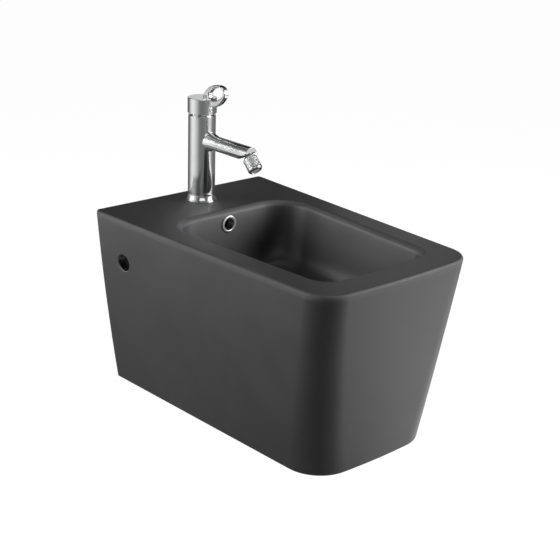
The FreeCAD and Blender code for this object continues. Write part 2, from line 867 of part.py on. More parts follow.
def make_horseshoe(label, above, thick):
    """A plate under the deck, open to the rear so that the hoses pass."""
    body = new_body(label, **TAP)
    top = -size("deck_thick") - above
    plate = circles(body, label + "_disc", "XY_Plane", [(ZERO, ZERO, size("horseshoe_radius"))], z=top)
    pad(body, plate, thick, back=True)
    half = size("horseshoe_slot") / 2
    slot = slab(body, label + "_slot", "XY_Plane", -half, half, -size("horseshoe_slot_front"),
                size("horseshoe_radius") + OVER, z=top)
    pocket(body, slot, thick)
    room = size("stud_radius") + size("loose_gap")
    hole = circles(body, label + "_hole", "XY_Plane", [(ZERO, -size("stud_front"), room)], z=top)
    pocket(body, hole, thick)
    return body


def make_nut(label, sides, radius, height, bore, x, y, z):
    """A nut as a prism with a round hole; z is its upper face."""
    prism = doc.addObject("Part::Prism", label + "_prism")
    prism.Polygon = sides
    bind(prism, "Circumradius", radius)
    bind(prism, "Height", height)
    hole = doc.addObject("Part::Cylinder", label + "_hole")
    bind(hole, "Radius", bore)
    bind(hole, "Height", height + OVER * 2)
    bind(hole, "Placement.Base.z", -OVER)
    nut = doc.addObject("Part::Cut", label)
    nut.Label = label
    nut.Base = prism
    nut.Tool = hole
    bind(nut, "Placement.Base.x", x)
    bind(nut, "Placement.Base.y", y)
    bind(nut, "Placement.Base.z", z - height)
    doc.recompute()
    return nut


def make_fixing_nut():
    """Hexagon nut that draws the tap down on the deck."""
    under = size("deck_thick") + size("horseshoe_rubber") + size("horseshoe_plate")
    across = size("fixing_nut_size") / root(as_size(3))
    return make_nut("fixing_nut", 6, across, size("fixing_nut_height"),
                    size("stud_radius") + size("thread_gap"), ZERO,
                    -size("tap_from_wall") - size("stud_front"), size("deck_over_studs") - under)


# Cartridge

def make_port_seals():
    """Three rubber rings between the cartridge and the tap's floor."""
    rings = []
    wall = size("seal_wire")
    for number, (x, y, radius) in enumerate(port_places(size("port_radius") + wall)):
        name = f"port_seal_{number}"
        outer = doc.addObject("Part::Cylinder", name + "_outer")
        inner = doc.addObject("Part::Cylinder", name + "_inner")
        ring = doc.addObject("Part::Cut", name)
        ring.Base = outer
        ring.Tool = inner
        bind(outer, "Radius", radius)
        bind(outer, "Height", size("seal_height"))
        bind(inner, "Radius", radius - wall)
        bind(inner, "Height", size("seal_height") + OVER * 2)
        bind(inner, "Placement.Base.z", -OVER)
        bind(ring, "Placement.Base.x", x)
        bind(ring, "Placement.Base.y", y - size("tap_from_wall"))
        bind(ring, "Placement.Base.z", size("deck_over_studs") + size("cartridge_floor"))
        rings.append(ring)
    group = doc.addObject("Part::Compound", "port_seals")
    group.Label = "port_seals"
    group.Links = rings
    doc.recompute()
    return group


def make_cartridge_base():
    """Plastic floor of the cartridge with its three ports and seal pockets."""
    floor = size("cartridge_floor")
    thick = size("base_thick")
    radius = size("cartridge_radius")
    body = lathe("cartridge_base", [
        (ZERO, floor),
        (radius, floor),
        (radius, floor + thick),
        (ZERO, floor + thick),
    ], **TAP)
    pocket(body, circles(body, "base_ports", "XY_Plane", port_places(size("port_radius")), z=floor + thick),
           thick + OVER)
    ring = size("port_radius") + size("seal_wire") + size("thread_gap")
    recess = circles(body, "seal_pockets", "XY_Plane", port_places(ring), z=floor + size("seal_height"))
    pocket(body, recess, size("seal_height") + OVER)
    return body


def disc_bottom():
    """Height of the fixed disc's lower face."""
    return size("cartridge_floor") + size("base_thick")


def make_fixed_disc():
    """Ceramic disc that stays still, with the three ports."""
    low = disc_bottom()
    radius = size("housing_bore") - size("loose_gap")
    body = lathe("fixed_disc", [
        (ZERO, low),
        (radius, low),
        (radius, low + size("disc_thick")),
        (ZERO, low + size("disc_thick")),
    ], **TAP)
    ports = circles(body, "disc_ports", "XY_Plane", port_places(size("port_radius")), z=low + size("disc_thick"))
    pocket(body, ports, size("disc_thick") + OVER)
    return body


def make_moving_disc():
    """Ceramic disc that slides over the ports, with its mixing pocket underneath."""
    low = disc_bottom() + size("disc_thick") + size("slide_gap")
    radius = size("disc_radius")
    top = low + size("disc_thick") - size("seal_height")
    body = lathe("moving_disc", [
        (ZERO, low),
        (radius, low),
        (radius, top),
        (ZERO, top),
    ], **TAP)
    pool = circles(body, "mixing_pool", "XY_Plane", [(ZERO, ZERO, size("outlet_port_front"))], z=low)
    pocket(body, pool, size("seal_height"), along=True)
    return body


def make_disc_driver():
    """Plastic plate on the moving disc, with the pocket that takes the stem's tail."""
    low = disc_bottom() + size("disc_thick") * 2 + size("slide_gap") - size("seal_height")
    top = low + size("driver_thick")
    radius = size("disc_radius")
    body = lathe("disc_driver", [
        (ZERO, low),
        (radius, low),
        (radius, top),
        (ZERO, top),
    ], **TAP)
    room = size("stem_tail_radius") + size("loose_gap")
    pocket(body, circles(body, "tail_pocket", "XY_Plane", [(ZERO, ZERO, room)], z=top), size("driver_thick"))
    return body


def make_cartridge_housing():
    """Plastic cup over the discs, open at the top for the stem."""
    low = disc_bottom()
    bore = size("housing_bore")
    top = size("housing_top")
    outer = size("cartridge_radius")
    mouth = size("housing_mouth")
    cover = size("housing_cover")
    return lathe("cartridge_housing", [
        (bore, low),
        (outer, low),
        (outer, top),
        (mouth, top),
        (mouth, top - cover),
        (bore, top - cover),
    ], **TAP)


def make_stem_carrier():
    """Turntable in the housing that holds the stem's cross pin."""
    low = size("carrier_bottom")
    top = size("carrier_top")
    body = lathe("stem_carrier", [
        (ZERO, low),
        (size("carrier_radius"), low),
        (size("carrier_radius"), top),
        (ZERO, top),
    ], **TAP)
    half = size("stem_width") / 2 + size("loose_gap")
    slot = slab(body, "stem_slot", "XY_Plane", -half, half, -size("carrier_slot_front"),
                size("carrier_slot_back"), z=top)
    pocket(body, slot, top - low + OVER)
    bore = circles(body, "pin_bore", "YZ_Plane", [(ZERO, size("pivot_height"), size("pin_radius"))])
    pocket(body, bore, size("carrier_radius") * 2 - OVER, middle=True)
    return body


def make_stem_pin():
    """Cross pin on which the stem tips."""
    body = new_body("stem_pin", **TAP)
    pin = circles(body, "pin", "YZ_Plane", [(ZERO, size("pivot_height"), size("pin_radius"))])
    pad(body, pin, size("carrier_radius") * 2 - OVER * 2, middle=True)
    return body


def make_cartridge_stem():
    """Square brass stem with a round tail below its pivot."""
    body = new_body("cartridge_stem", **TAP)
    half = size("stem_width") / 2
    start = size("pivot_height") - half
    square = slab(body, "square", "XY_Plane", -half, half, -half, half, z=start)
    pad(body, square, size("stem_top") - start)
    end = size("stem_tail_end")
    tail = circles(body, "tail", "XY_Plane", [(ZERO, ZERO, size("stem_tail_radius"))], z=end)
    pad(body, tail, start - end)
    eye = size("pin_radius") + size("running_gap")
    hole = circles(body, "pin_eye", "YZ_Plane", [(ZERO, size("pivot_height"), eye)])
    pocket(body, hole, size("stem_width") + OVER, middle=True)
    return body


def make_clamp_nut():
    """Threaded ring that holds the cartridge down, with a bevelled top."""
    low = size("housing_top")
    top = low + size("clamp_height")
    outer = size("clamp_radius")
    edge = size("clamp_edge")
    bore = size("clamp_bore")
    return lathe("clamp_nut", [
        (bore, low),
        (outer, low),
        (outer, top - edge),
        (outer - edge, top),
        (bore, top),
    ], **TAP)


# Lever handle

def oval(body, name, length, width, end, **place):
    """An oval of four arcs: its length, its width and the radius of its ends."""
    sketch = new_sketch(body, name, "YZ_Plane", **place)
    reach = length / 2
    rise = width / 2
    centre = reach - end
    flank = (centre * centre + rise * rise - end * end) / ((rise - end) * 2)
    drop = flank - rise
    scale = flank.value / (flank.value - end.value)
    join_x = centre.value * scale
    join_y = drop.value * (scale - 1)
    corner = {(x, y): FreeCAD.Vector(join_x * x, join_y * y, 0) for x in (-1, 1) for y in (-1, 1)}
    sketch.addGeometry(arc_between(corner[1, -1], corner[1, 1], end.value, LEFT))
    sketch.addGeometry(arc_between(corner[1, 1], corner[-1, 1], flank.value, LEFT))
    sketch.addGeometry(arc_between(corner[-1, 1], corner[-1, -1], end.value, LEFT))
    sketch.addGeometry(arc_between(corner[-1, -1], corner[1, -1], flank.value, LEFT))
    arcs = 4
    for number in range(arcs):
        after = (number + 1) % arcs
        sketch.addConstraint(Sketcher.Constraint("Tangent", number, 2, after, 1))
    for number, radius in ((0, end), (1, flank), (2, end), (3, flank)):
        set_radius(sketch, number, radius)
    for number, x in ((0, centre), (2, -centre)):
        limit(sketch, "DistanceX", number, 3, x)
        limit(sketch, "DistanceY", number, 3, ZERO)
    return sketch


def make_lever_handle():
    """Cap over the cartridge, cast in one with the upright loop that is its lever."""
    body = new_body("lever_handle", **TAP)
    loop_place = {"x": -size("loop_front"), "y": size("loop_height"), "spin": -size("loop_tilt")}
    loop = oval(body, "loop", size("loop_length"), size("loop_width"), size("loop_end"), **loop_place)
    pad(body, loop, size("loop_thick"), middle=True)
    eye_place = {"x": -size("eye_front"), "y": size("eye_height"), "spin": -size("loop_tilt")}
    eye = oval(body, "eye", size("eye_length"), size("eye_width"), size("eye_end"), **eye_place)
    pocket(body, eye, size("loop_thick") + OVER, middle=True)
    flat = size("overrun").value / 10
    soften(body, size("loop_edge"), lambda item: item.BoundBox.XMax - item.BoundBox.XMin < flat)
    low = size("cap_bottom")
    top = size("cap_top")
    outer = size("cap_radius")
    bevel = size("cap_bevel")
    edge = size("cap_edge")
    turned(body, outline(body, "cap", "XZ_Plane", [
        (ZERO, low),
        (outer - bevel, low),
        (outer, low + bevel),
        (outer, top - edge, edge, LEFT),
        (outer - edge, top),
        (ZERO, top),
    ]))
    inside = outer - size("cap_wall")
    roof = top - size("cap_crown")
    boss = size("boss_radius")
    turned(body, outline(body, "hollow", "XZ_Plane", [
        (ZERO, low - OVER),
        (inside, low - OVER),
        (inside, roof),
        (boss, roof),
        (boss, size("boss_bottom")),
        (ZERO, size("boss_bottom")),
    ]), cut=True)
    half_web = size("web_width") / 2
    web = slab(body, "web", "XY_Plane", -half_web, half_web, size("cap_wall") / 2 - outer, -size("boss_radius") / 2,
               z=size("web_bottom"))
    pad(body, web, roof - size("web_bottom") + size("cap_crown") / 2)
    room = size("stem_width") / 2 + size("thread_gap")
    socket = slab(body, "stem_socket", "XY_Plane", -room, room, -room, room, z=size("web_bottom") - OVER)
    pocket(body, socket, size("stem_top") - size("web_bottom") + OVER + size("thread_gap"), along=True)
    relief = size("column_radius") + size("loose_gap")
    rise = relief * tan_of(size("cap_relief"))
    half_disc = outline(body, "rear_relief", "XY_Plane", [
        (relief, ZERO, relief, LEFT),
        (ZERO, relief, relief, LEFT),
        (-relief, ZERO),
    ], z=low - OVER)
    pocket(body, half_disc, rise + OVER, along=True)
    height = size("grub_height")
    button = circles(body, "button_recess", "XZ_Plane", [(ZERO, height, size("plug_button_radius"))],
                     z=outer - size("plug_button_depth"))
    pocket(body, button, size("plug_button_depth") + OVER, along=True)
    screw_room = size("grub_radius") + size("thread_gap")
    screw = circles(body, "screw_hole", "XZ_Plane", [(ZERO, height, screw_room)])
    pocket(body, screw, outer, along=True)
    return body


def make_grub_screw():
    """Set screw that locks the handle to the stem."""
    body = new_body("grub_screw", **TAP)
    start = size("stem_width") / 2
    rod = circles(body, "grub", "XZ_Plane", [(ZERO, size("grub_height"), size("grub_radius"))], z=start)
    end = size("cap_radius") - size("plug_button_depth")
    pad(body, rod, end - start - size("loose_gap"))
    return body


def make_index_button():
    """Small domed button that hides the set screw."""
    depth = size("plug_button_depth")
    radius = size("plug_button_radius") - size("thread_gap")
    return lathe("index_button", [
        (ZERO, ZERO),
        (radius, ZERO),
        (radius, depth - size("cap_edge")),
        (radius - size("cap_edge"), depth),
        (ZERO, depth),
    ], y=-size("tap_from_wall") - size("cap_radius") + depth,
        z=size("deck_over_studs") + size("grub_height"), turn=as_size(90))


# Spout and nozzle

def pivot_place():
    """Centre of the nozzle's ball: distance in front of the tap's axis and height over the deck."""
    return size("spout_reach") - size("pivot_from_end"), size("spout_height") + size("pivot_rise")


def ball_room():
    """Radius of the round room in the spout's end."""
    return size("ball_radius") + size("liner_thick") + size("ball_gap") * 2


def make_spout():
    """Straight tube with a spigot at its root and a slanting seat for the nozzle at its end."""
    body = new_body("spout_tube", **TAP)
    height = size("spout_height")
    stub = size("stub_reach")
    tube = circles(body, "tube", "XZ_Plane", [(ZERO, height, size("spout_radius"))], z=stub)
    pad(body, tube, size("spout_reach") - stub)
    end = -size("spout_reach").value
    tiny = size("overrun").value / 10
    soften(body, size("spout_edge"), lambda item: abs(item.BoundBox.YMin - end) < tiny)
    spigot_start = stub - size("spigot_length")
    spigot = circles(body, "spigot", "XZ_Plane", [(ZERO, height, size("spigot_radius"))], z=spigot_start)
    pad(body, spigot, size("spigot_length"))
    front, level = pivot_place()
    bore = circles(body, "bore", "XZ_Plane", [(ZERO, height, size("waterway"))], z=spigot_start)
    pocket(body, bore, front - spigot_start, along=True)
    groove = size("seal_height")
    ring_place = stub - size("spigot_length") / 2
    outer = circles(body, "seal_groove", "XZ_Plane", [
        (ZERO, height, size("spigot_radius") + OVER),
        (ZERO, height, size("spigot_radius") - groove),
    ], z=ring_place)
    pocket(body, outer, groove * 2, along=True)
    sphere(body, "ball_room", ball_room(), cut=True, y=-front, z=level)
    seat = {"x": -front, "y": level, "spin": -size("nozzle_lean")}
    far = size("spout_reach") / 2
    below = slab(body, "seat", "YZ_Plane", -far, far, -far, -size("seat_depth"), **seat)
    pocket(body, below, size("spout_radius") * 2 + OVER, middle=True)
    mouth = size("mouth_radius")
    turned(body, slab(body, "mouth", "YZ_Plane", ZERO, mouth, -size("seat_depth") - OVER,
                      size("mouth_depth") - size("seat_depth"), **seat), cut=True)
    return body


def make_spout_seal():
    """Rubber ring in the spigot's groove."""
    ring = doc.addObject("Part::Torus", "spout_seal")
    ring.Label = "spout_seal"
    wire = size("seal_height") / 2
    bind(ring, "Radius1", size("spigot_radius") - wire)
    bind(ring, "Radius2", wire)
    axis = FreeCAD.Vector(1, 0, 0)
    ring.Placement = FreeCAD.Placement(FreeCAD.Vector(), FreeCAD.Rotation(axis, FULL_TURN / 4))
    place = size("stub_reach") - size("spigot_length") / 2 + size("seal_height")
    bind(ring, "Placement.Base.y", -size("tap_from_wall") - place)
    bind(ring, "Placement.Base.z", size("deck_over_studs") + size("spout_height"))
    doc.recompute()
    return ring


def seat_frame(tilt=ZERO):
    """A frame at the ball's centre, leaning by the seat's slope and any tilt of the ball."""
    front, level = pivot_place()
    return {
        "y": -size("tap_from_wall") - front,
        "z": size("deck_over_studs") + level,
        "turn": -size("nozzle_lean") - tilt,
    }


def nozzle_frame():
    """Where the nozzle's own frame stands: tilted in its seat, away from the wall."""
    return seat_frame(size("nozzle_tilt"))


def chord(radius, height):
    """Radius of a ball's section at a height from its centre."""
    return root(radius * radius - height * height)


def make_swivel_liner():
    """Slippery cup between the ball and the spout."""
    inner = size("ball_radius") + size("ball_gap")
    outer = inner + size("liner_thick")
    low = size("liner_low")
    high = size("liner_high")
    return lathe("swivel_liner", [
        (chord(inner, low), low),
        (chord(outer, low), low, outer, LEFT),
        (chord(outer, high), high),
        (chord(inner, high), high, inner, RIGHT),
    ], **seat_frame())


def make_swivel_ring():
    """Threaded ring that keeps the ball in the spout."""
    outer = size("mouth_radius") - size("thread_gap")
    inner = size("ball_radius") + size("ball_gap")
    top = size("mouth_depth") - size("seat_depth") - size("thread_gap")
    low = -size("seat_depth") - size("ring_proud")
    return lathe("swivel_ring", [
        (chord(inner, low), low),
        (outer, low),
        (outer, top),
        (chord(inner, top), top, inner, RIGHT),
    ], **seat_frame())


def make_swivel_ball():
    """Ball and threaded neck with the waterway through both."""
    body = new_body("swivel_ball", **nozzle_frame())
    sphere(body, "ball", size("ball_radius"))
    end = size("neck_end")
    neck = circles(body, "neck", "XY_Plane", [(ZERO, ZERO, size("neck_radius"))], z=-end)
    pad(body, neck, end)
    way = circles(body, "way", "XY_Plane", [(ZERO, ZERO, size("neck_bore"))], z=-end)
    pocket(body, way, end + size("ball_radius"), along=True)
    return body


def make_nozzle_shell():
    """Turned shell: a domed shoulder above, a barrel to grip and a rounded mouth below."""
    top = -size("shell_top")
    end = -size("shell_end")
    shoulder = size("shoulder_radius")
    edge = size("shell_edge")
    barrel = size("barrel_radius")
    curve = size("barrel_curve")
    mouth = size("shell_mouth")
    roof = top - size("shell_cover")
    neck = size("neck_radius") + size("thread_gap")
    return lathe("nozzle_shell", [
        (mouth, end),
        (mouth + edge, end, curve, LEFT),
        (barrel, end + curve),
        (barrel, top - size("shoulder_height"), size("shoulder_curve"), LEFT),
        (shoulder, top),
        (neck, top),
        (neck, roof),
        (mouth, roof),
    ], **nozzle_frame())


def make_aerator_insert():
    """Plastic insert that breaks up the jet, with a ring of holes in its face."""
    low = size("insert_inset") - size("shell_end")
    top = low + size("insert_height")
    body = lathe("aerator_insert", [
        (ZERO, low),
        (size("insert_radius"), low),
        (size("insert_radius"), top),
        (ZERO, top),
    ], **nozzle_frame())
    ring = size("insert_hole_ring")
    slant = root(as_size(3)) / 2
    places = [(ring, ZERO), (ring / 2, ring * slant), (-ring / 2, ring * slant),
              (-ring, ZERO), (-ring / 2, -ring * slant), (ring / 2, -ring * slant), (ZERO, ZERO)]
    holes = [(x, y, size("insert_hole")) for x, y in places]
    pocket(body, circles(body, "jet_holes", "XY_Plane", holes, z=top), size("insert_height") + OVER)
    return body


def make_aerator_seal():
    """Rubber washer between the neck and the insert."""
    low = size("insert_inset") - size("shell_end") + size("insert_height")
    top = -size("shell_top") - size("shell_cover")
    neck = size("neck_radius") + size("loose_gap")
    return lathe("aerator_seal", [
        (neck, low),
        (size("insert_radius"), low),
        (size("insert_radius"), top),
        (neck, top),
    ], **nozzle_frame())


# Pop-up waste

WASTE = {"y": -size("waste_from_wall"), "z": size("deck_over_studs") - size("basin_depth")}


def make_waste_body():
    """Flanged brass body with its threaded tail, overflow slots and inner bridge."""
    top = size("flange_top")
    under = top - size("flange_thick")
    tail = size("tail_radius")
    bore = size("tail_bore")
    end = -size("tail_length")
    edge = size("foot_edge")
    body = lathe("waste_body", [
        (bore, end),
        (size("tail_end_radius"), end),
        (size("tail_end_radius"), end + size("tail_end_length")),
        (tail, end + size("tail_end_length")),
        (tail, under),
        (size("flange_radius"), under),
        (size("flange_radius"), top - edge),
        (size("flange_radius") - edge, top),
        (size("funnel_radius"), top),
        (bore, top - size("funnel_depth")),
    ], **WASTE)
    half = size("slot_width") / 2
    high = -size("slot_top")
    low = high - size("slot_height")
    for name, role in (("slots_across", "YZ_Plane"), ("slots_along", "XZ_Plane")):
        slots = slab(body, name, role, -half, half, low, high)
        pocket(body, slots, tail * 2 + OVER, middle=True)
    bridge = -size("bridge_top")
    hub = circles(body, "bridge_hub", "XY_Plane", [(ZERO, ZERO, size("bridge_boss"))], z=bridge)
    pad(body, slab(body, "bridge", "XY_Plane", -bore - size("overrun") / 2, bore + size("overrun") / 2,
                   -size("bridge_width") / 2, size("bridge_width") / 2, z=bridge),
        size("bridge_height"), back=True)
    pad(body, hub, size("bridge_height"), back=True)
    room = size("click_radius") + size("thread_gap")
    hole = circles(body, "bridge_hole", "XY_Plane", [(ZERO, ZERO, room)], z=bridge)
    pocket(body, hole, size("bridge_height") + OVER)
    return body


def make_waste_top_seal():
    """Flat rubber ring under the flange."""
    low = -size("recess_depth")
    top = size("flange_top") - size("flange_thick")
    inner = size("tail_radius") + size("loose_gap")
    return lathe("waste_top_seal", [
        (inner, low),
        (size("flange_radius"), low),
        (size("flange_radius"), top),
        (inner, top),
    ], **WASTE)


def make_waste_lower_seal():
    """Conical rubber ring below the ceramic."""
    top = -size("outlet_height")
    low = top - size("lower_seal_height")
    inner = size("tail_radius") + size("thread_gap")
    wide = size("lower_seal_radius")
    return lathe("waste_lower_seal", [
        (inner, low),
        (wide, low),
        (wide - size("lower_seal_height") / 2, top),
        (inner, top),
    ], **WASTE)


def make_waste_backnut():
    """Eight-sided nut that clamps the waste in the ceramic."""
    under = size("outlet_height") + size("lower_seal_height")
    return make_nut("waste_backnut", 8, size("backnut_radius"), size("backnut_height"),
                    size("tail_radius") + size("thread_gap"), ZERO,
                    -size("waste_from_wall"), WASTE["z"] - under)


def make_click_housing():
    """Latch housing screwed into the bridge."""
    radius = size("click_radius")
    low = -size("click_bottom")
    top = -size("click_top")
    bore = size("plunger_radius") + size("running_gap")
    floor = low + OVER
    return lathe("click_housing", [
        (ZERO, low),
        (radius, low),
        (radius, top),
        (bore, top),
        (bore, floor),
        (ZERO, floor),
    ], **WASTE)


def make_plug_cap():
    """Domed plug that pops up when pressed, with the hub that carries its seal."""
    low = size("flange_top") + size("plug_gap")
    radius = size("plug_radius")
    rim = low + size("plug_rim")
    hub = size("plug_hub")
    return lathe("plug_cap", [
        (ZERO, low - size("plug_hub_depth")),
        (hub, low - size("plug_hub_depth")),
        (hub, low),
        (radius, low),
        (radius, rim - size("shell_edge")),
        (radius - size("shell_edge"), rim),
        (radius / 2, rim + size("plug_crown") * 3 / 4),
        (ZERO, rim + size("plug_crown")),
    ], **WASTE)


def make_plug_seal():
    """Rubber ring round the plug's hub."""
    top = size("flange_top") + size("plug_gap") - size("plug_seal_top")
    low = top - size("plug_seal_height")
    inner = size("plug_hub") + size("thread_gap")
    outer = size("plug_seal_outer")
    return lathe("plug_seal", [
        (inner, low),
        (outer - size("plug_seal_height") / 2, low),
        (outer, top),
        (inner, top),
    ], **WASTE)


def make_click_plunger():
    """Rod that joins the plug to its latch."""
    top = size("flange_top") + size("plug_gap") - size("plug_hub_depth")
    return lathe("click_plunger", [
        (ZERO, -size("plunger_end")),
        (size("plunger_radius"), -size("plunger_end")),
        (size("plunger_radius"), top),
        (ZERO, top),
    ], **WASTE)


def make_overflow_trim():
    """Rounded metal ring over the overflow's mouth."""
    opening = size("trim_opening")
    outer = size("trim_radius")
    thick = size("trim_thick")
    curve = size("trim_round")
    sleeve = size("trim_sleeve")
    return lathe("overflow_trim", [
        (opening, -size("trim_depth")),
        (sleeve, -size("trim_depth")),
        (sleeve, ZERO),
        (outer, ZERO),
        (outer, thick - curve, curve, LEFT),
        (outer - curve, thick),
        (opening + curve, thick, curve, LEFT),
        (opening, thick - curve),
    ], y=-size("overflow_seat"), z=size("deck_over_studs") - size("overflow_drop"), turn=as_size(90))


# Concealed wall fixings

def pair(label, one):
    """Both of a left and right pair as one node of two solids."""
    other = doc.addObject("Part::Mirroring", label + "_mirrored")
    other.Source = one
    other.Normal = FreeCAD.Vector(1, 0, 0)
    group = doc.addObject("Part::Compound", label)
    group.Label = label
    group.Links = [one, other]
    doc.recompute()
    return group


def make_stud_sleeves():
    """Long bushes that screw on the wall studs and carry the ceramic."""
    body = new_body("stud_sleeve", x=size("stud_spacing") / 2)
    ring = circles(body, "sleeve", "XZ_Plane", [
        (ZERO, ZERO, size("sleeve_radius")),
        (ZERO, ZERO, size("sleeve_bore")),
    ])
    pad(body, ring, size("sleeve_length"))
    room = size("side_screw_radius") + size("thread_gap")
    cross = circles(body, "cross_hole", "YZ_Plane", [(-size("side_from_wall"), ZERO, room)])
    pocket(body, cross, size("sleeve_radius") + OVER, along=True)
    return pair("stud_sleeves", body)


def side_lathe(label, points):
    """A piece turned about the side hole's axis, given as radius and distance from the middle."""
    body = new_body(label, y=-size("side_from_wall"))
    feature_sketch = outline(body, label + "_profile", "XY_Plane", [(p[1], p[0]) for p in points])
    before = volume(body)
    feature = body.newObject("PartDesign::Revolution", label + "_turn")
    feature.Profile = feature_sketch
    feature.ReferenceAxis = (feature_sketch, ["H_Axis"])
    feature.Angle = FULL_TURN
    settle(body, True, before)
    return body


def bush_start():
    """Distance from the middle to the inner face of the side screw's bush."""
    return size("stud_spacing") / 2 + size("sleeve_radius") + size("loose_gap")


def make_side_screws():
    """Screws that lock the sleeves, turned through the holes in the ceramic's sides."""
    shank = size("side_screw_radius")
    head = size("side_screw_head")
    tip = size("stud_spacing") / 2 + size("sleeve_bore") + size("loose_gap")
    start = bush_start() + size("bush_length")
    end = start + size("side_screw_head_height")
    screw = side_lathe("side_screw", [
        (ZERO, tip),
        (shank, tip),
        (shank, start),
        (head, start),
        (head, end),
        (ZERO, end),
    ])
    return pair("side_screws", screw)


def make_side_bushes():
    """Plastic bushes between the sleeves and the screws' heads."""
    outer = size("bush_radius")
    shank = size("side_screw_radius") + size("thread_gap")
    start = bush_start()
    end = start + size("bush_length")
    bush = side_lathe("side_bush", [
        (shank, start),
        (outer, start),
        (outer, end),
        (shank, end),
    ])
    return pair("side_bushes", bush)


def make_all():
    """Every piece, in the order in which they are fitted."""
    rubber = size("horseshoe_rubber")
    return [
        make_ceramic(),
        make_overflow_trim(),
        make_stud_sleeves(),
        make_side_screws(),
        make_side_bushes(),
        make_tap_body(),
        make_base_gasket(),
        make_fixing_stud(),
        make_horseshoe("horseshoe_gasket", ZERO, rubber),
        make_horseshoe("horseshoe_plate", rubber, size("horseshoe_plate")),
        make_fixing_nut(),
        make_port_seals(),
        make_cartridge_base(),
        make_fixed_disc(),
        make_moving_disc(),
        make_disc_driver(),
        make_cartridge_housing(),
        make_stem_carrier(),
        make_stem_pin(),
        make_cartridge_stem(),
        make_clamp_nut(),
        make_lever_handle(),
        make_grub_screw(),
        make_index_button(),
        make_spout(),
        make_spout_seal(),
        make_swivel_liner(),
        make_swivel_ring(),
        make_swivel_ball(),
        make_nozzle_shell(),
        make_aerator_insert(),
        make_aerator_seal(),
        make_waste_body(),
        make_waste_top_seal(),
        make_waste_lower_seal(),
        make_waste_backnut(),
        make_click_housing(),
        make_plug_cap(),
        make_plug_seal(),
        make_click_plunger(),
    ]


nodes = make_all()
doc.recompute()
for item in doc.Objects:
    if "Invalid" in item.State or "Error" in item.State:
        raise RuntimeError(f"{item.Name} failed: {item.State}")
for node in nodes:
    if node.Shape.isNull() or not node.Shape.isValid():
        raise RuntimeError(f"{node.Label} has no valid shape")

os.makedirs("parts", exist_ok=True)
for node in nodes:
    node.Shape.exportStep(f"parts/{node.Label}.step")
    print(f"{node.Label}: {len(node.Shape.Solids)} solid(s), {node.Shape.Volume / 1000:.2f} cm3")
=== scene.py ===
# %% [markdown]
# # A wall-hung bidet in satin black, with a chrome single-lever tap
#
# The bidet is one piece of glazed ceramic: a tapering tub with a flat deck, and a basin sunk
# into it. A polished tap stands on the deck. This lesson loads the measured parts first, so
# that every later piece has a place to sit.

# %% Load the measured parts
import json
import math
import bmesh
import bpy
from mathutils import Matrix, Vector


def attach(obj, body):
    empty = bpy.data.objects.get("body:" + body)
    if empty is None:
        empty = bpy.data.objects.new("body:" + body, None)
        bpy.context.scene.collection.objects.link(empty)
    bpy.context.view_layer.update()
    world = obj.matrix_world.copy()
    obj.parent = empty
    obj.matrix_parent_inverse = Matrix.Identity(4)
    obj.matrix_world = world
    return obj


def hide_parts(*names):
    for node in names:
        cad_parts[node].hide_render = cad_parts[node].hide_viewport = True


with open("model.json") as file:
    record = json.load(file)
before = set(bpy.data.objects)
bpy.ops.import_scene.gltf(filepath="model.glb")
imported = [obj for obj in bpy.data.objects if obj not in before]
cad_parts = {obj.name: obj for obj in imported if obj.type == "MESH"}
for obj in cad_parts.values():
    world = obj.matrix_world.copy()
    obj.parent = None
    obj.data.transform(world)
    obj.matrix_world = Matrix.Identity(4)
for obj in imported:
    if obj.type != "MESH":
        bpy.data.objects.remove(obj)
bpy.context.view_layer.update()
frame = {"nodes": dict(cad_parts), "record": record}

nodes = frame["nodes"]

# %% [markdown]
# ## Small helpers
#
# Each new piece starts as a bmesh, gets its place there, and becomes an object at the origin.
# Real edges are a mix of crisp and soft, so faces are shaded smooth and only edges that turn
# by more than a set angle stay sharp. Weighted normals keep the large flat faces flat, which
# a dark glossy surface would otherwise give away.

# %% Turn a bmesh into a finished piece
MM = 0.001
MERGED = 0.002 * MM
new_pieces = []


def placed(bm, name):
    """An object in the scene from the bmesh, which is then freed."""
    mesh = bpy.data.meshes.new(name)
    bm.to_mesh(mesh)
    bm.free()
    made = bpy.data.objects.new(name, mesh)
    bpy.context.scene.collection.objects.link(made)
    return made


def piece(bm, name, body, slot, replaced, sharp):
    """A finished piece that rides on a body and stands for a part; sharp is in degrees."""
    bmesh.ops.remove_doubles(bm, verts=bm.verts, dist=MERGED)
    bmesh.ops.recalc_face_normals(bm, faces=bm.faces)
    made = placed(bm, name)
    mesh = made.data
    mesh.shade_smooth()
    mesh.set_sharp_from_angle(angle=math.radians(sharp))
    flatten = made.modifiers.new("Even flats", "WEIGHTED_NORMAL")
    flatten.keep_sharp = True
    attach(made, body)
    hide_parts(*replaced)
    new_pieces.append((made, slot))
    print(name, "faces:", len(mesh.polygons))
    return made


# %% [markdown]
# A hollow casting is easiest as one solid minus another. The Boolean modifier does that with
# its exact solver. The helper puts both meshes in scratch objects, reads the result and
# clears them away, so that only a clean bmesh comes back.

# %% Combine solids
def combined(base, others, operation):
    """The base bmesh with each other bmesh taken away from it or joined to it."""
    scratch = []
    for number, bm in enumerate([base] + others):
        bmesh.ops.recalc_face_normals(bm, faces=bm.faces)
        scratch.append(placed(bm, f"scratch_{number}"))
    for other in scratch[1:]:
        step = scratch[0].modifiers.new("Combine", "BOOLEAN")
        step.operation = operation
        step.solver = "EXACT"
        step.object = other
    bpy.context.view_layer.update()
    shown = scratch[0].evaluated_get(bpy.context.evaluated_depsgraph_get())
    result = bmesh.new()
    result.from_mesh(shown.to_mesh())
    shown.to_mesh_clear()
    for made in scratch:
        mesh = made.data
        bpy.data.objects.remove(made)
        bpy.data.meshes.remove(mesh)
    return result


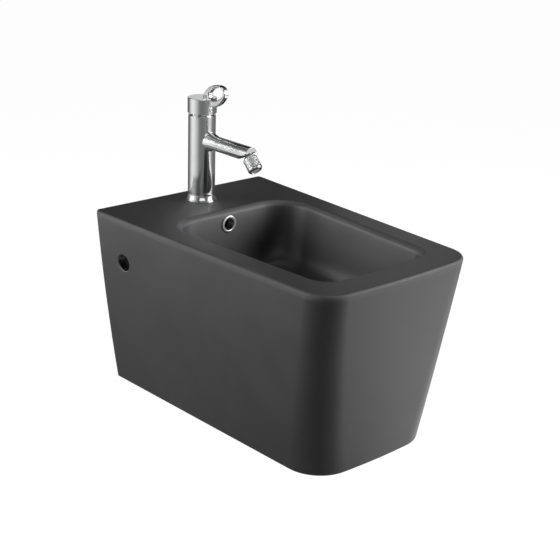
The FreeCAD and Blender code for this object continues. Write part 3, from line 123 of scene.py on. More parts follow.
blocks = [bmesh.new(), bmesh.new()]
for bm, size in zip(blocks, (1.0, 0.5)):
    bmesh.ops.create_cube(bm, size=size)
hollow_block = combined(blocks[0], blocks[1:], "DIFFERENCE")
print("volume of a cube less one of half its size:", round(hollow_block.calc_volume(), 3))
hollow_block.free()

# %% [markdown]
# Most fittings are turned on a lathe. The matching operator is spin: a chain of vertices is
# swept round an axis. The chain is drawn as (radius, height) pairs along +Z, and the result
# is then turned and moved to its place.

# %% Turn a profile
def lathe(profile, steps=96, place=Matrix.Identity(4)):
    """A closed solid of revolution from (radius, height) pairs in millimetres."""
    bm = bmesh.new()
    verts = [bm.verts.new((radius * MM, 0.0, height * MM)) for radius, height in profile]
    edges = [bm.edges.new(pair) for pair in zip(verts, verts[1:])]
    if profile[0][0] > 0 or profile[-1][0] > 0:
        edges.append(bm.edges.new((verts[-1], verts[0])))
    bmesh.ops.spin(bm, geom=verts + edges, cent=(0, 0, 0), axis=(0, 0, 1), steps=steps,
                   angle=math.tau, use_merge=True)
    bmesh.ops.remove_doubles(bm, verts=bm.verts, dist=MERGED / 2)
    bmesh.ops.transform(bm, matrix=place, verts=bm.verts)
    bmesh.ops.recalc_face_normals(bm, faces=bm.faces)
    return bm


def arc(centre, radius, start, end, steps):
    """Points of an arc for a profile, with its angles in degrees."""
    span = [math.radians(start + (end - start) * n / steps) for n in range(steps + 1)]
    return [(centre[0] + radius * math.cos(a), centre[1] + radius * math.sin(a)) for a in span]


print("points of a half circle in 12 steps:", len(arc((0, 0), 1.0, 0, 180, 12)))

# %% [markdown]
# Shapes that aren't round grow ring by ring: a closed chain of edges is extruded, and the new
# vertices are then moved to their places. The helper hands the new vertices back in the same
# order as the old ones.

# %% Extrude a ring
def grown(bm, edges, ring):
    """The edges and vertices that come from extruding a closed chain."""
    made = bmesh.ops.extrude_edge_only(bm, edges=edges)["geom"]
    fresh = {part for part in made if isinstance(part, bmesh.types.BMVert)}
    edges = [part for part in made if isinstance(part, bmesh.types.BMEdge)
             and part.verts[0] in fresh and part.verts[1] in fresh]
    ring = [next(edge.other_vert(vert) for edge in vert.link_edges
                 if edge.other_vert(vert) in fresh) for vert in ring]
    return edges, ring


trial = bmesh.new()
bmesh.ops.create_circle(trial, segments=8, radius=1.0)
grown(trial, trial.edges[:], trial.verts[:])
print("faces that grow from a ring of 8:", len(trial.faces))
trial.free()

# %% [markdown]
# ## The ceramic's plan
#
# Every level of the tub, inside and out, has the same kind of plan: a straight back, sides
# that close a little to the front, rounded corners and a front that bows out. The function
# gives that plan as a ring with a fixed number of points, so rings of different sizes can be
# joined point to point.

# %% Draw one plan
SIDE_STEPS = 22
CORNER_STEPS = 14
FRONT_STEPS = 22
REAR_STEPS = 22


def plan(half_rear, half_front, rear, front, bow, rear_corner, front_corner):
    """Ring of (x, y) points in millimetres, from the middle of the back round by the right."""
    sweep = (half_front ** 2 + bow ** 2) / (2 * bow)
    far = Vector((half_rear, rear))
    near = Vector((half_front, front + bow))
    along = (near - far).normalized()
    inward = Vector((along.y, -along.x))
    rear_run = (-rear_corner - rear_corner * inward.y) / along.y
    rear_centre = far + along * rear_run + inward * rear_corner
    sweep_centre = Vector((0.0, front + sweep))
    offset = far + inward * front_corner - sweep_centre
    reach = sweep - front_corner
    middle = offset.dot(along)
    front_run = -middle + math.sqrt(middle ** 2 - offset.length_squared + reach ** 2)
    front_centre = far + along * front_run + inward * front_corner
    toe = math.atan2(front_centre.y - sweep_centre.y, front_centre.x)
    side_turn = math.atan2(-inward.y, -inward.x)

    def swing(centre, radius, start, end, steps):
        turns = [start + (end - start) * n / steps for n in range(steps)]
        return [(centre[0] + radius * math.cos(t), centre[1] + radius * math.sin(t)) for t in turns]

    def straight(start, end, steps):
        return [tuple(start.lerp(end, n / steps)) for n in range(steps)]

    right = straight(far + along * rear_run, far + along * front_run, SIDE_STEPS)
    right += swing(front_centre, front_corner, side_turn, toe, CORNER_STEPS)
    half_bow = swing(sweep_centre, sweep, toe, -math.pi / 2, FRONT_STEPS // 2)
    back = swing(rear_centre, rear_corner, math.pi / 2, side_turn, CORNER_STEPS)
    half_back = straight(Vector((0.0, rear)), Vector((rear_centre.x, rear)), REAR_STEPS // 2)
    half = half_back + back + right + half_bow + [(0.0, front)]
    return half + [(-x, y) for x, y in reversed(half[1:-1])]


print("steps along a side and round a corner:", SIDE_STEPS, CORNER_STEPS)

# %% [markdown]
# The outside was measured at the rim, half way down and at the base. A smooth curve through
# the three gives every level between them. The base is drawn in and tucks under the rim,
# with larger corners lower down.

# %% Outside of the tub
DECK = 75.0
HEIGHT = 308.0
BOW = 6.5
REAR_CORNER = 8.0
# half width at the rear and the front, reach from the wall, radius of the front corners
RIM = (180.0, 155.8, 532.0, 49.0)
WAIST = (164.0, 144.0, 512.7, 54.0)
BASE = (142.0, 126.3, 496.2, 61.5)


def through_three(share, first, second, third):
    """Value at a share of the height, on the curve through three measured ones."""
    low, high = share - 0.5, share - 1.0
    return 2 * low * high * first - 4 * share * high * second + 2 * share * low * third


def skirt_plan(depth, inset=0.0, rear=0.0, rear_corner=REAR_CORNER):
    """The outside's plan at a depth below the deck, drawn in by an inset."""
    share = min(max(depth / HEIGHT, 0.0), 1.0)
    half_rear, half_front, reach, corner = [
        through_three(share, *three) for three in zip(RIM, WAIST, BASE)]
    return plan(half_rear - inset, half_front - inset, rear, inset - reach, BOW,
                rear_corner, corner - inset)


RING = len(skirt_plan(0.0))
print("half width at the rim and base:",
      [round(max(x for x, y in skirt_plan(depth)), 1) for depth in (0.0, HEIGHT)])

# %% [markdown]
# The basin's walls go down almost straight, then sweep in to the waste. Pairs of depth and
# closing say how far the plan has moved from the rim's shape towards the round well, and a
# smooth curve runs through them.

# %% Inside of the basin
BASIN_DEPTH = 118.0
BASIN_CURVE = [(0.0, 0.0), (0.36, 0.035), (0.70, 0.105), (0.86, 0.21), (0.93, 0.36), (0.963, 0.54),
               (0.985, 0.77), (1.0, 1.0)]
BASIN_RUN_OUT = Vector((0.012, 0.75))
WASTE = 225.0  # its middle's distance from the wall
WELL = 40.0
# half width at the rear and the front, distance of both from the wall, bow, corners
BASIN_RIM = (129.5, 109.0, 127.0, 477.5, 5.0, 56.0, 32.0)
BASIN_WELL = (WELL, WELL, WASTE - WELL, WASTE + WELL, 1.0, 37.0, 37.0)


def basin_plan(closing, grow=0.0):
    """The basin's plan on its way from the rim to the round well, wider by what it grows."""
    half_rear, half_front, rear, front, bow, rear_corner, front_corner = [
        at_rim + (at_well - at_rim) * closing for at_rim, at_well in zip(BASIN_RIM, BASIN_WELL)]
    return plan(half_rear + grow, half_front + grow, grow - rear, -front - grow, bow,
                rear_corner + grow, front_corner + grow)


def basin_places(steps):
    """(depth share, closing) pairs on a smooth curve through the measured ones."""
    knots = [Vector(pair) for pair in BASIN_CURVE]
    ends = [knots[0] * 2 - knots[1]] + knots + [knots[-1] + BASIN_RUN_OUT]
    places = []
    for number in range(1, len(ends) - 2):
        p0, p1, p2, p3 = ends[number - 1:number + 3]
        for step in range(steps):
            t = step / steps
            places.append(0.5 * (2 * p1 + (p2 - p0) * t + (2 * p0 - 5 * p1 + 4 * p2 - p3) * t ** 2
                                 + (3 * p1 - p0 - 3 * p2 + p3) * t ** 3))
    return places + [knots[-1]]


print("places from the rim to the well:", len(basin_places(steps=6)))

# %% [markdown]
# One ring of vertices makes the whole skin. It starts under the base, is extruded and pulled
# to the next plan again and again: round the bottom edge, up the skirt, over the rounded rim,
# across the flat deck, over the basin's lip and down to the well. Filling the first and the
# last ring closes it.

# %% Stack the rings
def pulled(ring, points, depth):
    """Move a ring of vertices to the points of a plan at a depth below the deck."""
    for vert, (x, y) in zip(ring, points):
        vert.co = (x * MM, y * MM, (DECK - depth) * MM)


def stacked(levels):
    """A closed solid through rings of plan points, each with its depth below the deck."""
    bm = bmesh.new()
    bmesh.ops.create_circle(bm, segments=RING, radius=0.1)
    bm.verts.ensure_lookup_table()
    ring = list(bm.verts)
    pulled(ring, *levels[0])
    edges = list(bm.edges)
    bmesh.ops.contextual_create(bm, geom=edges)
    for points, depth in levels[1:]:
        edges, ring = grown(bm, edges, ring)
        pulled(ring, points, depth)
    bmesh.ops.contextual_create(bm, geom=edges)
    return bm


print("vertices in each ring:", RING)

# %% [markdown]
# The bottom edge and the rim are quarter rounds. A quarter round gives pairs of how far the
# plan is drawn in and how far the edge has come down or up, so its rings stack like all others.

# %% Levels of the outside
def quarter(radius, steps):
    """Pairs of what a quarter round still lacks sideways and has already dropped."""
    turns = [math.radians(90 * n / steps) for n in range(steps + 1)]
    return [(radius * (1 - math.sin(turn)), radius * (1 - math.cos(turn))) for turn in turns]


BASE_ROUND = 2.5
RIM_ROUND = 5.5
EDGE_STEPS = 8
SKIRT_STEPS = 24

levels = []
for inset, rise in quarter(BASE_ROUND, EDGE_STEPS):
    depth = HEIGHT - rise
    levels.append((skirt_plan(depth, inset, rear_corner=REAR_CORNER - inset), depth))
top, bottom = RIM_ROUND, HEIGHT - BASE_ROUND
for step in range(1, SKIRT_STEPS):
    depth = bottom + (top - bottom) * step / SKIRT_STEPS
    levels.append((skirt_plan(depth), depth))
for depth, inset in quarter(RIM_ROUND, EDGE_STEPS):
    levels.append((skirt_plan(depth, inset, rear_corner=REAR_CORNER - inset), depth))
print("levels outside:", len(levels))

# %% [markdown]
# The lip of the basin is a larger quarter round. It is laid on the plan that the wall has at
# the same depth, so that the lip runs into the wall without a kink.

# %% Levels of the basin
LIP = 8.5
LIP_STEPS = EDGE_STEPS + 2
CLEAR_OF_LIP = LIP * 1.3
basin = basin_places(steps=7)


def closing_at(depth):
    """How far the basin's wall has closed at a depth."""
    share = depth / BASIN_DEPTH
    below = next(n for n in range(1, len(basin)) if basin[n].x >= share)
    a, b = basin[below - 1], basin[below]
    return a.y + (b.y - a.y) * (share - a.x) / (b.x - a.x)


for grow, depth in quarter(LIP, LIP_STEPS):
    levels.append((basin_plan(closing_at(depth), grow), depth))
for place in basin:
    if place.x * BASIN_DEPTH > CLEAR_OF_LIP:
        levels.append((basin_plan(place.y), place.x * BASIN_DEPTH))
skin = stacked(levels)
print("skin faces:", len(skin.faces))

# %% [markdown]
# Some forms are flat: the overflow duct, the arch in the back and a few cutters. They are an
# outline that becomes one face, has its corners rounded by a bevel and is then extruded. The
# places of all pieces are counted from the middle of the deck's rear edge, as on a drawing.

# %% Flat blocks and places
ROUNDING_STEPS = 4


def prism(outline, thickness, place, rounding=0.0):
    """An outline in the XY plane of its place, thickened both ways, with rounded corners."""
    bm = bmesh.new()
    verts = [bm.verts.new((x * MM, y * MM, -thickness / 2 * MM)) for x, y in outline]
    face = bm.faces.new(verts)
    if rounding:
        bmesh.ops.bevel(bm, geom=verts, offset=rounding * MM, offset_type="OFFSET",
                        segments=ROUNDING_STEPS, profile=0.5, affect="VERTICES", material=-1)
        face = bm.faces[:][0]
    raised = bmesh.ops.extrude_face_region(bm, geom=[face], use_keep_orig=True)["geom"]
    lifted = [part for part in raised if isinstance(part, bmesh.types.BMVert)]
    bmesh.ops.translate(bm, vec=(0, 0, thickness * MM), verts=lifted)
    bmesh.ops.transform(bm, matrix=place, verts=bm.verts)
    bmesh.ops.recalc_face_normals(bm, faces=bm.faces)
    return bm


def at(x, y, z):
    """A place in the deck's frame: z is counted from the deck."""
    return Matrix.Translation(Vector((x, y, DECK + z)) * MM)


def up(height):
    """A place straight above the origin."""
    return Matrix.Translation((0, 0, height * MM))


# turns that lay a lathe's axis sideways, forwards and backwards, and an outline across the bidet
SIDEWAYS = Matrix.Rotation(math.radians(90), 4, "Y")
FORWARDS = Matrix.Rotation(math.radians(90), 4, "X")
BACKWARDS = FORWARDS.inverted()
ACROSS = Matrix(((0, 0, 1, 0), (1, 0, 0, 0), (0, 1, 0, 0), (0, 0, 0, 1)))
print("middle of the deck's rear edge:", at(0, 0, 0).translation)

# %% [markdown]
# Ceramic is cast hollow. The cavity under the deck is the skirt's plan drawn in by the wall,
# and it leaves standing the bowl's own wall, the overflow duct at the back of the bowl and
# the outlet below it. Seen from behind, all of that shows through the arch in the back.

# %% Hollow under the deck
SKIRT_WALL = 13.0
BACK_WALL = 18.0
DECK_WALL = 16.0
BOWL_WALL = 11.0
BOWL_TOP = 8.0
DUCT_WIDTH = 38.0
DUCT_OUTLINE = [(-111, -12), (-114, -60), (-118, -90), (-129, -117), (-152, -128), (-187.6, -132),
                (-187.6, -155), (-147, -152), (-118, -136), (-102, -103), (-97, -70), (-95, -12)]
FLOOR_OF_BASIN = -BASIN_DEPTH

hollow_levels = [(skirt_plan(depth, SKIRT_WALL, -BACK_WALL, rear_corner=6.0), depth)
                 for depth in (DECK_WALL, 60, 110, 160, 210, 260, HEIGHT)]
hollow_levels.append((hollow_levels[-1][0], HEIGHT + 5))
bowl_reach = BASIN_DEPTH + BOWL_WALL - BOWL_TOP
bowl_levels = [(basin_plan(place.y, BOWL_WALL), BOWL_TOP + bowl_reach * place.x)
               for place in basin_places(steps=4)]
duct = prism(DUCT_OUTLINE, DUCT_WIDTH, at(0, 0, 0) @ ACROSS, rounding=4)
outlet = lathe([(0, -44), (40.5, -44), (42, -42.5), (42, -5), (0, -5)],
               place=at(0, -WASTE, FLOOR_OF_BASIN))
hollow = combined(stacked(hollow_levels), [stacked(bowl_levels), duct, outlet], "DIFFERENCE")
print("hollow faces:", len(hollow.faces))

# %% [markdown]
# Holes come last. Two round ones through the sides hide the fixing screws. Glaze softens the
# rim of a hole, so their cutters flare like a trumpet where they meet the surface, and lean
# with the wall. The lean is measured on two plans, 10 mm apart in depth.

# %% Side holes
SIDE_HOLE = 14.0
HOLE_ROUND = 1.6
HOLE_Y = -67.4
FIXING_DEPTH = DECK  # level with the origin, like the wall studs
BY_THE_HOLE = 28  # the ring's point next to the hole
upper, lower = [skirt_plan(depth)[BY_THE_HOLE][0] for depth in (70.0, 80.0)]
lean = Matrix.Rotation(math.atan2(upper - lower, 10.0), 4, "Y")
closing_in = Matrix.Rotation(-math.atan2(RIM[0] - RIM[1], RIM[2] - BOW), 4, "Z")


def wall_half_width(y, depth):
    """Half width of the outside at a distance in front of the wall, which is a negative y."""
    right = skirt_plan(depth)[:RING // 2]
    after = next(n for n, point in enumerate(right) if point[1] <= y)
    a, b = right[after - 1], right[after]
    return a[0] + (b[0] - a[0]) * (y - a[1]) / (b[1] - a[1])


def side_cutter(mirror):
    """Trumpet for the mouth of a side hole."""
    trumpet = arc((SIDE_HOLE + HOLE_ROUND, -HOLE_ROUND), HOLE_ROUND, 180, 90, 8)
    profile = [(0, -6.0), (SIDE_HOLE, -6.0)] + trumpet
    profile += [(SIDE_HOLE + HOLE_ROUND, 6.0), (0, 6.0)]
    edge = wall_half_width(HOLE_Y, FIXING_DEPTH)
    place = at(edge, HOLE_Y, -FIXING_DEPTH) @ lean @ closing_in @ SIDEWAYS
    return lathe(profile, 64, mirror @ place)


bore = [(0, -200), (SIDE_HOLE, -200), (SIDE_HOLE, 200), (0, 200)]
cutters = [hollow, side_cutter(Matrix.Identity(4)), side_cutter(Matrix.Diagonal((-1, 1, 1, 1))),
           lathe(bore, 64, at(0, HOLE_Y, -FIXING_DEPTH) @ SIDEWAYS)]
print("half width at the side holes:", round(wall_half_width(HOLE_Y, FIXING_DEPTH), 1))

# %% [markdown]
# The back has two holes for the wall studs, and an arch that lets the pipes through. The arch
# is a block whose two upper edges are bevelled before it cuts.

# %% Studs and arch
STUD_PITCH = 180.0
ARCH_TOP = -130.0
ARCH_ROUND = 24.0
for side in (-1, 1):
    stud = [(0, -30), (12.3, -30), (12.3, 10), (0, 10)]
    cutters.append(lathe(stud, 48, at(STUD_PITCH / 2 * side, 0, -FIXING_DEPTH) @ BACKWARDS))
arch = [(-70, -HEIGHT - 10), (70, -HEIGHT - 10), (70, ARCH_TOP), (-70, ARCH_TOP)]
arch_cutter = prism(arch, 60, at(0, 0, 0) @ FORWARDS)
corners = [edge for edge in arch_cutter.edges
           if all(vert.co.z > (DECK + ARCH_TOP - 1) * MM for vert in edge.verts)
           and abs(edge.verts[0].co.y - edge.verts[1].co.y) > ARCH_ROUND * MM]
bmesh.ops.bevel(arch_cutter, geom=corners, offset=ARCH_ROUND * MM, offset_type="OFFSET",
                segments=12, profile=0.5, affect="EDGES", material=-1)
cutters.append(arch_cutter)
print("bevelled edges of the arch:", len(corners))

# %% [markdown]
# The last cutters are turned ones: the tap's hole, the overflow with a seat for its ring, and
# the waste with its seat and the chamber that the overflow duct leads to. One difference then
# takes everything out of the skin.

# %% Tap hole, overflow and waste
TAP_Y = -53.5
OVERFLOW = (0, -127.3, -24.6)
cutters.append(lathe([(0, -40), (17.5, -40), (17.5, 5), (0, 5)], 64, at(0, TAP_Y, 0)))
overflow = [(0, -16), (11, -16), (11, 0), (15.3, 0), (15.3, 9), (0, 9)]
cutters.append(lathe(overflow, 64, at(*OVERFLOW) @ FORWARDS))
waste = [(0, -50), (23, -50), (23, -30), (32, -30), (32, -12), (23, -12), (23, -4), (33.5, -4),
         (33.5, 4), (0, 4)]
cutters.append(lathe(waste, 96, at(0, -WASTE, FLOOR_OF_BASIN)))
ceramic = combined(skin, cutters, "DIFFERENCE")
glazed_body = piece(ceramic, "glazed_body", "fixed", "ceramic", ["ceramic_body"], sharp=40.0)
print("ceramic's lowest point:", round(min(v.co.z for v in glazed_body.data.vertices), 4))

# %% [markdown]
# ## The tap
#
# The column is turned on the lathe from its flared foot to its open top, hollow for the
# cartridge. Its foot swells in a wide curve and ends in a thin rounded edge. The column gets
# extra rows where the spout's stub will leave it.

# %% Column and foot
COLUMN = 22.9
STUB_RISE = 105.0  # of the spout's axis over the deck
WINDOW_RISE = 20.0
WINDOW_ROWS = 8
tap_place = at(0, TAP_Y, 0)


def flare(start, end, radius, steps):
    """Points of a curve between two profile points, without the first; hollow above zero."""
    a, b = Vector(start), Vector(end)
    across = Vector((b.y - a.y, a.x - b.x)).normalized()
    away = math.sqrt(radius ** 2 - (b - a).length_squared / 4)
    centre = (a + b) / 2 + across * math.copysign(away, radius)
    radius = abs(radius)
    turns = [math.atan2(p.y - centre.y, p.x - centre.x) for p in (a, b)]
    if turns[1] - turns[0] > math.pi:
        turns[0] += math.tau
    if turns[0] - turns[1] > math.pi:
        turns[1] += math.tau
    return [(centre.x + radius * math.cos(t), centre.y + radius * math.sin(t))
            for t in (turns[0] + (turns[1] - turns[0]) * n / steps for n in range(1, steps + 1))]


column_profile = [(0, -3), (17.2, -3), (17.2, 0), (18.6, 0), (18.6, 2), (24.2, 2), (24.2, 0),
                  (25.4, 0)]
column_profile += arc((25.4, 0.9), 0.9, -90, 0, 5)[1:] + [(26.3, 1.9)]
column_profile += arc((25.8, 1.9), 0.5, 0, 60, 3)[1:]
column_profile += flare(column_profile[-1], (COLUMN, 17.0), 22.0, 12) + [(COLUMN, 50.0)]
column_profile += [(COLUMN, STUB_RISE + WINDOW_RISE * row / WINDOW_ROWS)
                   for row in range(-WINDOW_ROWS, WINDOW_ROWS + 1)]
column_profile += arc((COLUMN - 0.8, 146.2), 0.8, 0, 90, 5) + [(18, 147), (18, 118), (0, 118)]
tap_bm = lathe(column_profile, 96)
print("column faces:", len(tap_bm.faces))

# %% [markdown]
# The stub has to flow out of the column with a small, even blend. A boolean would leave
# slivers there that polished metal shows at once, so the blend is built. First a window is cut
# in the column. Its border is then known by the way round the column and the rise, and by the
# turn round the stub's axis.

# %% Window in the column
WINDOW_TURN = 45.0


def in_window(face):
    """Whether a face lies on the outside, in the window."""
    middle = face.calc_center_median() / MM
    heading = math.degrees(math.atan2(middle.x, -middle.y))
    outside = math.hypot(middle.x, middle.y) > COLUMN - 0.2
    return outside and abs(heading) < WINDOW_TURN and abs(middle.z - STUB_RISE) < WINDOW_RISE


bmesh.ops.delete(tap_bm, geom=[face for face in tap_bm.faces if in_window(face)], context="FACES")
edges = [edge for edge in tap_bm.edges if edge.is_boundary]
ring = list(dict.fromkeys(vert for edge in edges for vert in edge.verts))
spread = [(COLUMN * math.atan2(vert.co.x, -vert.co.y), vert.co.z / MM - STUB_RISE)
          for vert in ring]
turns = [math.atan2(rise, across) for across, rise in spread]
print("vertices round the window:", len(ring))

# %% [markdown]
# A ball that rolls along both cylinders touches each of them on a curve. The window's border
# is extruded to the first curve, round the ball to the second, and out along the stub.

# %% Rolling ball
STUB = 12.25
BLEND = 4.0


def rolling(turn):
    """The rolling ball's centre, and where it touches the column and the stub."""
    x, z = (STUB + BLEND) * math.cos(turn), (STUB + BLEND) * math.sin(turn)
    y = -math.sqrt((COLUMN + BLEND) ** 2 - x ** 2)
    shrink = COLUMN / (COLUMN + BLEND)
    on_stub = STUB / (STUB + BLEND)
    centre = Vector((x, y, z))
    return centre, Vector((x * shrink, y * shrink, z)), Vector((x * on_stub, y, z * on_stub))


def on_column(share):
    """Places on the column, a share of the way from the window to the ball."""
    places = []
    for (across, rise), turn in zip(spread, turns):
        touch = rolling(turn)[1]
        reach = COLUMN * math.atan2(touch.x, -touch.y)
        along = across + (reach - across) * share
        places.append(Vector((COLUMN * math.sin(along / COLUMN), -COLUMN * math.cos(along / COLUMN),
                              rise + (touch.z - rise) * share)))
    return places


def round_ball(share):
    """Places on the ball, a share of the way from the column to the stub."""
    places = []
    for turn in turns:
        centre, first, last = rolling(turn)
        places.append(centre + (first - centre).slerp(last - centre, share))
    return places


def along_stub(share, radius, end):
    """Places a share of the way from the ball to an end of the stub."""
    places = []
    for turn in turns:
        start = rolling(turn)[2].y
        places.append(Vector((radius * math.cos(turn), start + (end - start) * share,
                              radius * math.sin(turn))))
    return places


print("ball above the stub:", [round(v, 1) for v in rolling(math.pi / 2)[0]])

# %% [markdown]
# The stub ends in a small chamfer and a socket for the spout tube. The last ring is filled, so
# that the column is one closed solid.

# %% Stub
STUB_END = 53.0
CHAMFER = 0.3
SOCKET = 9.55
SOCKET_DEPTH = 12.0
BALL_STEPS = 8

steps = [on_column(share) for share in (0.3, 0.58, 0.82, 1.0)]
steps += [round_ball(n / BALL_STEPS) for n in range(1, BALL_STEPS + 1)]
steps += [along_stub(share, STUB, -STUB_END + CHAMFER) for share in (0.5, 1.0)]
steps += [along_stub(1.0, STUB - CHAMFER, -STUB_END), along_stub(1.0, SOCKET, -STUB_END),
          along_stub(1.0, SOCKET, -STUB_END + SOCKET_DEPTH)]
for places in steps:
    edges, ring = grown(tap_bm, edges, ring)
    for vert, place in zip(ring, places):
        vert.co = (place + Vector((0, 0, STUB_RISE))) * MM
bmesh.ops.contextual_create(tap_bm, geom=edges)
bmesh.ops.transform(tap_bm, matrix=tap_place, verts=tap_bm.verts)
piece(tap_bm, "turned_column", "fixed", "chrome", ["tap_body"], sharp=30.0)

# %% [markdown]
# The spout is a tube that plugs into the stub; a hairline joint stays where they meet. Its
# end is cut away on a slant, and holds the round seat of the nozzle's ball. The nozzle turns
# about the same pivot as that seat, at a steeper tilt.

# %% Spout tube
REACH = 116.65  # from the column's axis to the middle of the nozzle's ball
PIVOT = (0, TAP_Y - REACH, 105.8)
BALL_ROOM = 8.5
seat_place = at(*PIVOT) @ Matrix.Rotation(math.radians(-30), 4, "X")
tube = [(0, REACH), (6.5, REACH), (6.5, STUB_END - SOCKET_DEPTH), (9.5, STUB_END - SOCKET_DEPTH),
        (9.5, STUB_END), (STUB - CHAMFER, STUB_END), (STUB, STUB_END + CHAMFER)]
tube += [(STUB, along) for along in (70, 90, 110)]
tube += arc((STUB - 0.6, 126.9), 0.6, 0, 90, 5) + [(0, 127.5)]
tube_bm = lathe(tube, 96, at(0, TAP_Y, STUB_RISE) @ FORWARDS)
below = prism([(-40, -40), (40, -40), (40, 40), (-40, 40)], 40, seat_place @ up(-22.5))
room = lathe([(0, -BALL_ROOM)] + arc((0, 0), BALL_ROOM, -90, 90, 16)[1:-1] + [(0, BALL_ROOM)],
             64, seat_place)
mouth = lathe([(0, -6), (9.8, -6), (9.8, -0.3), (0, -0.3)], 64, seat_place)
tube_bm = combined(tube_bm, [below, room, mouth], "DIFFERENCE")
piece(tube_bm, "spout_pipe", "fixed", "chrome", ["spout_tube"], sharp=30.0)

# %% [markdown]
# The nozzle is turned as well: a domed shoulder, a barrel and a rounded mouth. Fingers grip it
# by fine diamonds all over the barrel. They are pressed in by moving its vertices inwards
# along two crossing waves, so the barrel has many rows and steps for them.

# %% Nozzle
BARREL = 12.1
BORE = 8.9
KNURL_FROM, KNURL_TO, KNURL_ROWS = -28.5, -12.0, 44
DIAMONDS_ROUND = 30
DIAMOND_PITCH = 2.0
DIAMOND_DEPTH = 0.22
nozzle_place = at(*PIVOT) @ Matrix.Rotation(math.radians(-45), 4, "X")
shell = [(5.05, -6.5), (5.05, -12.0), (BORE, -12.0), (BORE, -34.5), (9.2, -34.5)]
shell += flare((9.2, -34.5), (BARREL, -29.5), -5.0, 8) + [(BARREL, KNURL_FROM - 1.0)]
shell += [(BARREL, KNURL_FROM + (KNURL_TO - KNURL_FROM) * n / KNURL_ROWS)
          for n in range(KNURL_ROWS + 1)]
shell += flare((BARREL, -11.6), (7.4, -6.7), -12.0, 8) + [(7.0, -6.5)]
shell_bm = lathe(shell, 240)
for vert in shell_bm.verts:
    height = vert.co.z / MM
    radius = math.hypot(vert.co.x, vert.co.y) / MM
    if KNURL_FROM < height < KNURL_TO and radius > BARREL - 0.1:
        turn = math.atan2(vert.co.y, vert.co.x) * DIAMONDS_ROUND
        wave = height * math.tau / DIAMOND_PITCH
        dent = DIAMOND_DEPTH * (1 + max(math.cos(turn + wave), math.cos(turn - wave)))
        vert.co.xy *= (radius - dent) / radius
bmesh.ops.transform(shell_bm, matrix=nozzle_place, verts=shell_bm.verts)
piece(shell_bm, "knurled_shell", "nozzle", "chrome", ["nozzle_shell"], sharp=50.0)

# %% [markdown]
# The handle is a cap and an upright loop, cast in one. The loop is an oval of four arcs with
# a smaller oval eye set forward in it. Both ovals give the same number of points, and points
# with the same normal are paired.

# %% Ovals of the loop
# length, width, radius of the ends, distance in front of the column's axis, rise
LOOP = (58.5, 34.8, 12.0, 35.0, 183.7)
EYE = (38.0, 19.5, 8.0, 40.0, 187.95)
LOOP_TILT = math.radians(23.4)
ARC_STEPS = 22


def oval(length, width, end, front, rise):
    """Points (front, rise) of a tilted oval, evenly by arc; the first faces the front."""
    reach, half = length / 2 - end, width / 2
    flank = (reach ** 2 + half ** 2 - end ** 2) / ((half - end) * 2)
    drop = flank - half
    join = math.atan2(drop, reach)
    arcs = [((reach, 0), end, -join, join), ((0, -drop), flank, join, math.pi - join),
            ((-reach, 0), end, math.pi - join, math.pi + join),
            ((0, drop), flank, math.pi + join, math.tau - join)]
    points = []
    for centre, radius, start, stop in arcs:
        for n in range(ARC_STEPS):
            turn = start + (stop - start) * n / ARC_STEPS
            x, y = centre[0] + radius * math.cos(turn), centre[1] + radius * math.sin(turn)
            points.append(Vector((front + x * math.cos(LOOP_TILT) - y * math.sin(LOOP_TILT),
                                  rise + x * math.sin(LOOP_TILT) + y * math.cos(LOOP_TILT))))
    return points


rims = list(zip(oval(*LOOP), oval(*EYE)))
print("pairs of points round the eye:", len(rims))

# %% [markdown]
# A section with four rounded corners is stretched across each pair and extruded all the way
# round. The loop's metal is thin at the front and thick over the cap, so the rounding gives
# way where the pair is close.

# %% Loop
LOOP_THICK = 10.2
LOOP_ROUND = 2.6
section = []
for corner, (side, far) in enumerate([(1, 1), (-1, 1), (-1, 0), (1, 0)]):
    for n in range(7):
        turn = math.radians(90 * corner + 15 * n)
        section.append((side, far, math.cos(turn), math.sin(turn)))
loop_bm = bmesh.new()
ring = [loop_bm.verts.new((n * MM, 0, 0)) for n in range(len(section))]
edges = [loop_bm.edges.new(pair) for pair in zip(ring, ring[1:] + ring[:1])]
for number, (outer, inner) in enumerate(rims + rims[:1]):
    if number:
        edges, ring = grown(loop_bm, edges, ring)
    outward = (outer - inner).normalized()
    rounding = min(LOOP_ROUND, (outer - inner).length / 2 - 0.1)
    ends = [inner + outward * rounding, outer - outward * rounding]
    for vert, (side, far, across, along) in zip(ring, section):
        place = ends[far] + outward * (along * rounding)
        x = side * (LOOP_THICK / 2 - rounding) + across * rounding
        vert.co = Vector((x, -place.x, place.y)) * MM
bmesh.ops.remove_doubles(loop_bm, verts=loop_bm.verts, dist=0.005 * MM)
print("loop faces:", len(loop_bm.faces))

# %% [markdown]
# The cap is a turned bell with a core that holds the stem. The loop is joined to it first, and
# the hollow is cut again after that, because the loop's foot reaches into it. The bell's wall
# is thinned inside at the back, which gives it room to lean over the column, and a recess in
# front takes the button.

